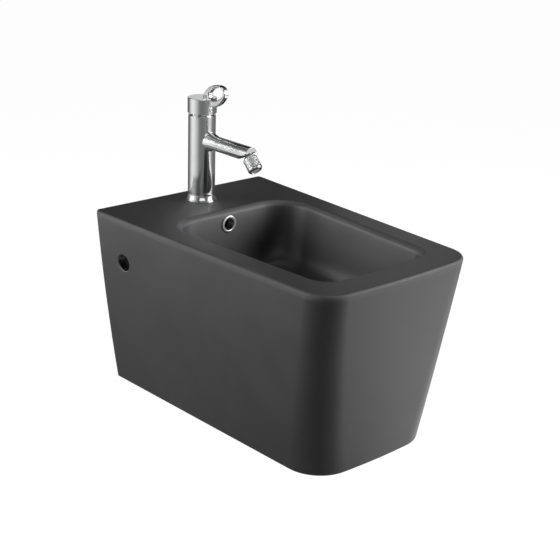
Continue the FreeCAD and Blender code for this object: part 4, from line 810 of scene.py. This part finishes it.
# %% Cap
CAP = 24.2
BUTTON_RISE = 159.0
cap = [(0, 160), (7.5, 160), (7.5, 172), (20.5, 172), (20.5, 149.5), (22.6, 149.5), (CAP, 151.1),
       (CAP, 163.0)] + arc((CAP - 1.0, 175.0), 1.0, 0, 90, 6) + [(0, 176)]
cap_bm = combined(lathe(cap, 128), [loop_bm], "UNION")
cap_hollow = lathe([(7.6, 148), (20.4, 148), (20.4, 171.9), (7.6, 171.9)], 128)
relief = prism(arc((0, 0), 23.2, 0, 180, 60), 12.0, up(152.9))
recess = lathe([(0, 2.2 - CAP), (4.0, 2.2 - CAP), (4.0, -30), (0, -30)], 48,
               up(BUTTON_RISE) @ BACKWARDS)
handle_bm = combined(cap_bm, [cap_hollow, relief, recess], "DIFFERENCE")
bmesh.ops.transform(handle_bm, matrix=tap_place, verts=handle_bm.verts)
piece(handle_bm, "loop_lever", "handle", "chrome", ["lever_handle"], sharp=32.0)

# %% [markdown]
# Two small turned pieces finish the front: the domed button over the set screw, and the
# rounded ring in the overflow.

# %% Button and overflow ring
button = [(0, 22.05), (3.95, 22.05), (3.95, 23.7)] + arc((3.45, 23.7), 0.5, 0, 70, 4)[1:]
button += [(2.2, 24.5), (0, 24.7)]
button_bm = lathe(button, 48, at(0, TAP_Y, BUTTON_RISE) @ FORWARDS)
piece(button_bm, "domed_button", "handle", "chrome", ["index_button"], sharp=40.0)

trim = [(10, -12), (10.8, -12), (10.8, 0), (15, 0)] + arc((13.6, 1.6), 1.4, 0, 90, 6)
trim += arc((11.4, 1.6), 1.4, 90, 180, 6)
trim_bm = lathe(trim, 72, at(*OVERFLOW) @ FORWARDS)
piece(trim_bm, "overflow_ring", "fixed", "chrome", ["overflow_trim"], sharp=40.0)

# %% [markdown]
# Below the deck, the fixing rod gets its thread. The lathe makes a plain rod with many rows,
# and each vertex is then moved inwards by how far it has climbed round the helix. The core and
# the top end, which screws into the foot, stay plain.

# %% Threaded rod
ROD = 4.0
PITCH = 1.25
ROWS_IN_PITCH = 8
THREAD_SHARE = 0.17
rod = [(0, -48.0), (3.2, -48.0)]
rod += [(ROD, -47.4 + row * PITCH / ROWS_IN_PITCH) for row in range(490)]
rod += [(ROD, 14.0), (0, 14.0)]
rod_bm = lathe(rod, 32)
for vert in rod_bm.verts:
    radius = math.hypot(vert.co.x, vert.co.y) / MM
    if radius > ROD - 0.5 and vert.co.z < 13.5 * MM:
        climbed = (vert.co.z / MM / PITCH - math.atan2(vert.co.y, vert.co.x) / math.tau) % 1.0
        vert.co.xy *= 1 - THREAD_SHARE * (1 - abs(2 * climbed - 1))
bmesh.ops.transform(rod_bm, matrix=at(0, TAP_Y - 10, 0), verts=rod_bm.verts)
piece(rod_bm, "threaded_rod", "fixed", "steel", ["fixing_stud"], sharp=60.0)

# %% [markdown]
# ## Finishes
#
# Real surfaces are never even. A satin glaze has slow clouds of gloss and a fine ripple, and
# polished chrome has hairlines from the wheel. Each of those effects is a node group with named
# inputs, so that every finish can use it with its own values. The groups give only values; the
# shader stays in each material.

# %% Groups and nodes
def effect(name, inputs, build):
    """A node group that puts out one value."""
    group = bpy.data.node_groups.new(name, "ShaderNodeTree")
    group.interface.new_socket("Vector", in_out="INPUT", socket_type="NodeSocketVector")
    for label, default in inputs:
        socket = group.interface.new_socket(label, in_out="INPUT", socket_type="NodeSocketFloat")
        socket.default_value = default
    group.interface.new_socket("Value", in_out="OUTPUT", socket_type="NodeSocketFloat")
    start = group.nodes.new("NodeGroupInput")
    end = group.nodes.new("NodeGroupOutput")
    group.links.new(build(group, start), end.inputs["Value"])
    return group


def fill(tree, socket, value):
    """Link an input to another node's output, or set its plain value."""
    if isinstance(value, bpy.types.NodeSocket):
        tree.links.new(value, socket)
    else:
        socket.default_value = value


def node(tree, kind, settings=(), **inputs):
    """A node with its settings and its filled inputs."""
    made = tree.nodes.new("ShaderNode" + kind)
    for label, value in settings:
        setattr(made, label, value)
    for label, value in inputs.items():
        fill(tree, made.inputs[label.replace("_", " ")], value)
    return made


def computed(tree, operation, *values):
    """The result of a Math node over outputs and plain numbers."""
    made = node(tree, "Math", [("operation", operation)])
    for socket, value in zip(made.inputs, values):
        fill(tree, socket, value)
    return made.outputs[0]


print("helpers for nodes:", [helper.__name__ for helper in (effect, fill, node, computed)])

# %% [markdown]
# Clouds are a slow noise whose middle range is spread out between two limits. Ripple is a fine
# noise over a much slower one, because glaze pulls itself flat but never quite. Hairlines are
# noise stretched along the height. The last effect is a band between two heights: along the
# rounded edges of the rim the glaze runs off and is left thin, and so duller there.

# %% Shared effects
MIDDLE = (0.32, 0.68)
SLOWER = 9.0
SLOW_SHARE = 3.0
STRETCH = (1.0, 1.0, 0.02)
HEIGHT_FADE = (0.005, 0.0012)


def clouds(group, start):
    """Slow, soft-edged patches between the two limits."""
    noise = node(group, "TexNoise", Vector=start.outputs["Vector"], Scale=start.outputs["Scale"],
                 Detail=3.0, Roughness=0.55)
    spread = node(group, "MapRange", Value=noise.outputs["Fac"], From_Min=MIDDLE[0],
                  From_Max=MIDDLE[1], To_Min=start.outputs["Low"], To_Max=start.outputs["High"])
    return spread.outputs["Result"]


def ripple(group, start):
    """Fine unevenness of a fired glaze, with a slow wave under it."""
    fine = node(group, "TexNoise", Vector=start.outputs["Vector"], Scale=start.outputs["Scale"],
                Detail=1.0)
    slow = node(group, "TexNoise", Vector=start.outputs["Vector"], Detail=0.0,
                Scale=computed(group, "DIVIDE", start.outputs["Scale"], SLOWER))
    return computed(group, "MULTIPLY_ADD", slow.outputs["Fac"], SLOW_SHARE, fine.outputs["Fac"])


def hairlines(group, start):
    """Thin lines along one direction, as a polishing wheel leaves them."""
    stretch = node(group, "Mapping", Vector=start.outputs["Vector"], Scale=STRETCH)
    noise = node(group, "TexNoise", Vector=stretch.outputs["Vector"], Scale=start.outputs["Scale"],
                 Detail=2.0)
    return noise.outputs["Fac"]


def by_height(group, start):
    """A gain that sets in softly at one height and ends at another."""
    height = node(group, "SeparateXYZ", Vector=start.outputs["Vector"]).outputs["Z"]
    below, over = [computed(group, "SUBTRACT", start.outputs[label], fade)
                   for label, fade in zip(("Start", "End"), HEIGHT_FADE)]
    rising = node(group, "MapRange", Value=height, From_Min=below,
                  From_Max=start.outputs["Start"], To_Min=0.0, To_Max=start.outputs["Gain"])
    falling = node(group, "MapRange", Value=height, From_Min=over,
                   From_Max=start.outputs["End"], To_Min=1.0, To_Max=0.0)
    return computed(group, "MULTIPLY", rising.outputs["Result"], falling.outputs["Result"])


CLOUDS = effect("gloss_clouds", [("Scale", 20.0), ("Low", 0.0), ("High", 1.0)], clouds)
RIPPLE = effect("surface_ripple", [("Scale", 200.0)], ripple)
HAIRLINES = effect("polishing_lines", [("Scale", 400.0)], hairlines)
HEIGHT_GAIN = effect("height_gain", [("Start", 0.0), ("End", 1.0), ("Gain", 0.0)], by_height)
print("effects:", [group.name for group in bpy.data.node_groups])

# %% [markdown]
# A finish is a Principled shader with its own plain values, and effects that vary its colour,
# roughness and surface. One function wires them the same way each time: two colours mixed by
# clouds, roughness between two limits and raised in a band of height, and a bump from ripple
# or hairlines.

# %% Make a finish
FINER = 1.7
NOWHERE_DULL = (0.0, 1.0, 0.0)


def finish(name, colours, roughness, bump, spread, metal=0.0, dull=NOWHERE_DULL, **sockets):
    """A material from pairs of limits, a bump (group, scale, strength, depth) and a dull band."""
    material = bpy.data.materials.new(name)
    material.use_nodes = True
    tree = material.node_tree
    shader = tree.nodes["Principled BSDF"]
    where = node(tree, "TexCoord").outputs["Object"]

    def use(group, **values):
        made = tree.nodes.new("ShaderNodeGroup")
        made.node_tree = group
        tree.links.new(where, made.inputs["Vector"])
        for label, value in values.items():
            made.inputs[label].default_value = value
        return made.outputs["Value"]

    mix = node(tree, "Mix", [("data_type", "RGBA")])
    tree.links.new(use(CLOUDS, Scale=spread, Low=0.0, High=1.0), mix.inputs["Factor"])
    for socket, colour in zip((mix.inputs[6], mix.inputs[7]), colours):
        socket.default_value = (*colour, 1.0)
    tree.links.new(mix.outputs[2], shader.inputs["Base Color"])
    rough = use(CLOUDS, Scale=spread * FINER, Low=roughness[0], High=roughness[1])
    duller = use(HEIGHT_GAIN, Start=dull[0], End=dull[1], Gain=dull[2])
    tree.links.new(computed(tree, "ADD", rough, duller), shader.inputs["Roughness"])
    group, scale, strength, depth = bump
    raised = node(tree, "Bump", Height=use(group, Scale=scale), Strength=strength, Distance=depth)
    tree.links.new(raised.outputs["Normal"], shader.inputs["Normal"])
    shader.inputs["Metallic"].default_value = metal
    for label, value in sockets.items():
        shader.inputs[label.replace("_", " ")].default_value = value
    return material


print("sockets of the ripple:", [item.name for item in RIPPLE.interface.items_tree])

# %% [markdown]
# The glaze is satin: rough enough to blur its surroundings, under a thin coat that still gives
# a weak sharp image. The tap is polished chrome. Its nozzle has a duller chrome, darkened in
# colour as painted shade of its knurl, and the ring of the overflow is satin. Steel, brass,
# rubber and plastic sit behind and below.

# %% Finishes
RIM_BAND = (0.0700, 0.0749, 0.38)  # from and to a height in metres, gain in roughness
POLISHED = (HAIRLINES, 900.0, 0.004, 0.0001)
finishes = {
    "ceramic": finish("satin_black_glaze", [(0.0080, 0.0080, 0.0088), (0.0095, 0.0095, 0.0104)],
                      (0.43, 0.48), (RIPPLE, 420.0, 0.12, 0.0002), 9.0, dull=RIM_BAND,
                      Coat_Weight=0.06, Coat_Roughness=0.12),
    "chrome": finish("polished_chrome", [(0.84, 0.845, 0.85), (0.90, 0.905, 0.91)],
                     (0.09, 0.13), POLISHED, 30.0, metal=1.0),
    # painted shade: the knurl's chrome is darker in colour for the shade in its grooves; its extra
    # roughness is real
    "knurled": finish("chrome_darkened_for_knurl_shade", [(0.60, 0.605, 0.61), (0.68, 0.685, 0.69)],
                      (0.14, 0.20), POLISHED, 30.0, metal=1.0),
    "satin": finish("satin_chrome", [(0.42, 0.423, 0.428), (0.48, 0.483, 0.488)],
                    (0.30, 0.36), (HAIRLINES, 700.0, 0.02, 0.0001), 40.0, metal=1.0),
    "steel": finish("stainless_steel", [(0.52, 0.52, 0.51), (0.60, 0.60, 0.59)],
                    (0.22, 0.34), (HAIRLINES, 700.0, 0.10, 0.0002), 40.0, metal=1.0),
    "brass": finish("raw_brass", [(0.60, 0.43, 0.17), (0.72, 0.53, 0.24)],
                    (0.25, 0.40), (HAIRLINES, 600.0, 0.08, 0.0002), 40.0, metal=1.0),
    # painted shade: the brass in the tap's joints is darkened to grey for the shadow there
    "brass_in_joint_shade": finish("brass_darkened_for_joint_shade", [(0.20, 0.20, 0.20), (0.26, 0.26, 0.26)],
                     (0.30, 0.40), (HAIRLINES, 600.0, 0.05, 0.0002), 40.0, metal=1.0),
    "rubber": finish("black_rubber", [(0.018, 0.018, 0.018), (0.032, 0.032, 0.032)],
                     (0.62, 0.78), (RIPPLE, 900.0, 0.25, 0.0003), 60.0),
    "plastic": finish("grey_plastic", [(0.14, 0.145, 0.155), (0.18, 0.185, 0.195)],
                      (0.34, 0.44), (RIPPLE, 800.0, 0.08, 0.0002), 40.0),
    "disc_ceramic": finish("lapped_ceramic", [(0.78, 0.74, 0.66), (0.86, 0.83, 0.76)],
                           (0.16, 0.24), (RIPPLE, 900.0, 0.03, 0.0001), 60.0),
}
print("finishes:", sorted(finishes))

# %% [markdown]
# The record of the part says which finish each measured part takes. The parts keep their
# shapes and get the finish in their material slot. A few pieces differ from the rest of their
# slot: two brass parts that peep out of the tap's joints are darkened to grey as painted shade
# for the shadow in the joints, and the nozzle and the overflow's ring have the chrome of their own.

# %% Dress the measured parts
def dress(made, slot):
    """Give a piece the finish of a slot, and no other."""
    made.data.materials.clear()
    made.data.materials.append(finishes[slot])


slots = {part["node"]: part["material_slot"] for part in frame["record"]["subparts"]}
OWN_FINISH = {"clamp_nut": "brass_in_joint_shade", "swivel_ball": "brass_in_joint_shade", "knurled_shell": "knurled",
              "overflow_ring": "satin"}
for name, made in nodes.items():
    dress(made, OWN_FINISH.get(name, slots[name]))
for made, slot in new_pieces:
    dress(made, OWN_FINISH.get(made.name, slot))
print("slots used:", sorted(set(slots.values())))

# %% [markdown]
# ## Studio
#
# The camera stands where the photograph was taken from: to the left of the bidet, a little
# above it, looking down by twenty degrees. A long lens keeps the edges nearly parallel. Its
# place and axes were worked out from the ceramic's edges.

# %% Camera
RIGHT = Vector((0.748218, -0.662661, 0.032408))
UP = Vector((0.209292, 0.282103, 0.936277))
FORWARD = Vector((0.629577, 0.693757, -0.349764))
STAND = Vector((-1.252706, -1.640178, 0.686415))
LENS = 79.52

lens = bpy.data.cameras.new("photo_camera")
lens.lens = LENS
camera = bpy.data.objects.new("photo_camera", lens)
bpy.context.scene.collection.objects.link(camera)
turn = Matrix((RIGHT, UP, -FORWARD)).transposed().to_4x4()
camera.matrix_world = Matrix.Translation(STAND) @ turn
bpy.context.scene.camera = camera
bpy.context.scene.view_settings.view_transform = "Standard"
print("camera stands at", [round(v, 3) for v in STAND])

# %% [markdown]
# The room is white, but a white world would wash out a dark glaze. So rays from the camera and
# rays that a glossy surface reflects see plain white, and the rest get three tenths of that
# as a soft, even light.

# %% World
AMBIENT = 0.3
WHITE = (1.0, 1.0, 1.0, 1.0)
world = bpy.data.worlds.new("white_room")
bpy.context.scene.world = world
world.use_nodes = True
tree = world.node_tree
tree.nodes.clear()


def seen_directly(tree):
    """1 for a ray from the camera, off a glossy surface or through glass, else 0."""
    path = node(tree, "LightPath").outputs
    direct = computed(tree, "MAXIMUM", path["Is Camera Ray"], path["Is Glossy Ray"])
    return computed(tree, "MAXIMUM", direct, path["Is Transmission Ray"])


def chosen(tree, share, first, second):
    """A mix of two shaders by a share of the second."""
    mix = node(tree, "MixShader", Fac=share)
    for socket, shader in zip(list(mix.inputs)[1:], (first, second)):
        tree.links.new(shader.outputs[0], socket)
    return mix.outputs[0]


soft_light = node(tree, "Background", Color=WHITE, Strength=AMBIENT)
plain_white = node(tree, "Background", Color=WHITE, Strength=1.0)
node(tree, "OutputWorld", Surface=chosen(tree, seen_directly(tree), soft_light, plain_white))
print("world:", len(tree.nodes), "nodes")

# %% [markdown]
# The floor follows the same idea: nearly all of what the camera sees of it is plain white, and
# the small rest is a matt surface that keeps a trace of the shadow under the bidet.

# %% Floor
FLOOR = -0.325  # in metres, a little under the wall-hung bidet
FLOOR_HALF = 12.0
GLOWING_SHARE = 0.97
bm = bmesh.new()
bmesh.ops.create_grid(bm, x_segments=1, y_segments=1, size=FLOOR_HALF,
                      matrix=Matrix.Translation((0, 0, FLOOR)))
floor = placed(bm, "floor")
pale = bpy.data.materials.new("pale_floor")
pale.use_nodes = True
tree = pale.node_tree
shader = tree.nodes["Principled BSDF"]
shader.inputs["Base Color"].default_value = (0.88, 0.88, 0.88, 1.0)
shader.inputs["Roughness"].default_value = 0.9
shader.inputs["Specular IOR Level"].default_value = 0.0
glow = node(tree, "Emission", Color=WHITE, Strength=1.0)
share = computed(tree, "MULTIPLY", seen_directly(tree), GLOWING_SHARE)
tree.links.new(chosen(tree, share, shader, glow), tree.nodes["Material Output"].inputs["Surface"])
floor.data.materials.append(pale)
print("floor at", FLOOR)

# %% [markdown]
# Two soft lamps stand left behind and right in front, low enough to shine along the deck. They
# light the two outer faces and the two basin walls that the camera sees, and leave the corner
# between them dark, which draws the shape.

# %% Lamps
CENTRE = Vector((0.0, -0.25, 0.0))


def lamp(name, heading, rise, distance, size, watts):
    """A rectangular softbox that faces the bidet; its heading is counted from +X."""
    turned, lifted = math.radians(heading), math.radians(rise)
    away = Vector((math.cos(turned) * math.cos(lifted), math.sin(turned) * math.cos(lifted),
                   math.sin(lifted)))
    data = bpy.data.lights.new(name, "AREA")
    data.shape = "RECTANGLE"
    data.size, data.size_y = size
    data.energy = watts
    made = bpy.data.objects.new(name, data)
    bpy.context.scene.collection.objects.link(made)
    made.location = CENTRE + away * distance
    made.rotation_euler = (-away).to_track_quat("-Z", "Y").to_euler()
    made.visible_camera = False
    print(name, "stands at", [round(v, 2) for v in made.location])


lamp("left_softbox", 150, 17, 1.9, (1.5, 0.9), 98.0)
lamp("right_softbox", 313, 20, 1.8, (1.0, 1.0), 115.0)

# %% [markdown]
# Polished metal shows its surroundings, so the stripes on the tap come from what stands around
# it: glowing cards, as in a photographer's studio. Only reflections see the cards, so they
# light and shade nothing else. A card is a mesh with an emission of its own.

# %% Make a card
TAP = Vector((0.0, TAP_Y * MM, DECK * MM))


def card(name, bm, strength, shade):
    """A glowing card from the bmesh, seen only in reflections; shade makes the pattern of its glow.
    """
    made = placed(bm, name)
    printed = bpy.data.materials.new(name)
    printed.use_nodes = True
    tree = printed.node_tree
    tree.nodes.clear()
    glow = node(tree, "Emission", Color=shade(tree), Strength=strength)
    node(tree, "OutputMaterial", Surface=glow.outputs[0])
    made.data.materials.append(printed)
    made.visible_camera = False
    made.visible_diffuse = False
    made.visible_shadow = False
    made.visible_transmission = False
    print(name, "glows with", strength)


# %% [markdown]
# Some cards glow in grey bands, painted light that only reflections see. The bands go by the
# heading round a middle, counted from +X: the arc tangent of Y over X gives a share of the full
# turn, and a colour ramp turns that into a grey. Higher up the glow fades, a painted shade like
# that of paper out of the light of a lamp.

# %% Glow in bands
FADE = (0.02, 0.22)


def banded(bands, centre, above=1.0):
    """A glow of (heading, grey) bands round a centre, dimmed upwards to a share above as painted
    shade.
    """
    def shade(tree):
        centred = node(tree, "Mapping", Vector=node(tree, "TexCoord").outputs["Object"],
                       Location=(-centre.x, -centre.y, 0.0))
        apart = node(tree, "SeparateXYZ", Vector=centred.outputs["Vector"]).outputs
        heading = computed(tree, "ARCTAN2", apart["Y"], apart["X"])
        share = computed(tree, "FLOORED_MODULO", computed(tree, "DIVIDE", heading, math.tau), 1.0)
        ramp = node(tree, "ValToRGB", Fac=share)
        stops = ramp.color_ramp.elements
        stops[0].position, stops[1].position = 0.0, 1.0
        stops[0].color = stops[1].color = (bands[0][1],) * 3 + (1.0,)
        for angle, grey in bands[1:]:
            stops.new(angle / 360.0).color = (grey, grey, grey, 1.0)
        fade = node(tree, "MapRange", From_Min=FADE[0], From_Max=FADE[1], To_Min=1.0, To_Max=above,
                    Value=apart["Z"])
        faded = node(tree, "VectorMath", [("operation", "SCALE")], Scale=fade.outputs["Result"])
        tree.links.new(ramp.outputs["Color"], faded.inputs[0])
        return faded.outputs["Vector"]
    return shade


print("prints fade from", FADE[0], "to", FADE[1])

# %% [markdown]
# A round tent of glowing card stands between the lamps and the tap, seen only in reflections.
# Its painted light is bright towards the left behind and the right in front, grey towards the
# camera and nearly black behind. It grows ring by ring like the tub, and closes in at the top.

# %% Tent for reflections
BANDS = [(0, 0.17), (15, 0.18), (26, 0.08), (40, 0.045), (80, 0.05), (95, 0.14), (112, 0.24),
         (127, 0.52), (140, 0.78), (156, 0.84), (171, 0.74), (181, 0.62), (190, 0.48), (199, 0.42),
         (205, 0.27), (212, 0.20), (232, 0.16), (252, 0.19), (268, 0.25), (276, 0.24), (284, 0.44),
         (293, 0.74), (303, 0.70), (314, 0.46), (325, 0.21), (340, 0.17), (352, 0.14)]
TENT = [(1.2, FLOOR + 0.002), (1.2, 0.75), (1.12, 0.95), (0.9, 1.15), (0.55, 1.28)]
tent_bm = bmesh.new()
bmesh.ops.create_circle(tent_bm, segments=96, radius=TENT[0][0])
edges, ring = tent_bm.edges[:], tent_bm.verts[:]
headings = [vert.co.normalized() for vert in ring]
for radius, height in TENT:
    for vert, heading in zip(ring, headings):
        vert.co = (TAP.x + heading.x * radius, TAP.y + heading.y * radius, height)
    if height < TENT[-1][1]:
        edges, ring = grown(tent_bm, edges, ring)
# painted light and shade: the tent's glowing bands, seen only in reflections
card("tent", tent_bm, 1.0, banded(BANDS, TAP, 0.45))

# %% [markdown]
# The ceramic's sloping sides mirror the floor, so a glowing disc lies there that only reflections
# see: a painted reflection, bright in front of the bidet and dark elsewhere, which shades its front
# and flank.

# %% Glowing disc on the floor for painted reflections
# painted reflection: the disc's glowing bands, bright in front and dark elsewhere, seen only in
# reflections
FLOOR_BANDS = [(0, 0.20), (60, 0.08), (100, 0.10), (125, 0.10), (150, 0.08), (180, 0.06),
               (205, 0.03), (240, 0.03), (262, 0.10), (290, 0.40), (310, 0.60), (330, 0.62),
               (345, 0.4)]
FLOOR_GLOW = 2.4
disc_bm = bmesh.new()
bmesh.ops.create_circle(disc_bm, segments=96, radius=1.19, cap_ends=True,
                        matrix=Matrix.Translation((CENTRE.x, CENTRE.y, FLOOR + 0.003)))
card("floor_glow_for_reflections", disc_bm, FLOOR_GLOW, banded(FLOOR_BANDS, CENTRE))

# %% [markdown]
# Four plain cards finish the light. Two stand behind on the right and give a sheen to the
# cap's flat top and to the deck. One stands in front on the left for the basin's far corner,
# and one hangs in front on the right for the bowl's floor.

# %% Plain cards
def sheet(name, place, target, size, strength):
    """A plain glowing card at a place, turned to a target."""
    place = Vector(place)
    facing = (Vector(target) - place).to_track_quat("Z", "Y").to_matrix().to_4x4()
    sized = Matrix.Diagonal((*size, 1, 1))
    bm = bmesh.new()
    bmesh.ops.create_grid(bm, x_segments=1, y_segments=1, size=0.5,
                          matrix=Matrix.Translation(place) @ facing @ sized)
    card(name, bm, strength, lambda tree: WHITE)


sheet("cap_card", (0.68, 0.81, 0.49), TAP, (0.2, 0.14), 0.62)
sheet("deck_card", (0.80, 0.22, 0.42), (0.15, -0.45, 0.075), (0.3, 0.3), 0.6)
sheet("corner_card", (-0.50, -0.96, 0.50), (0.1, -0.15, 0.02), (0.8, 0.5), 1.0)
sheet("bowl_card", (0.69, -0.63, 0.76), (0.0, -0.25, 0.0), (0.5, 0.5), 1.0)
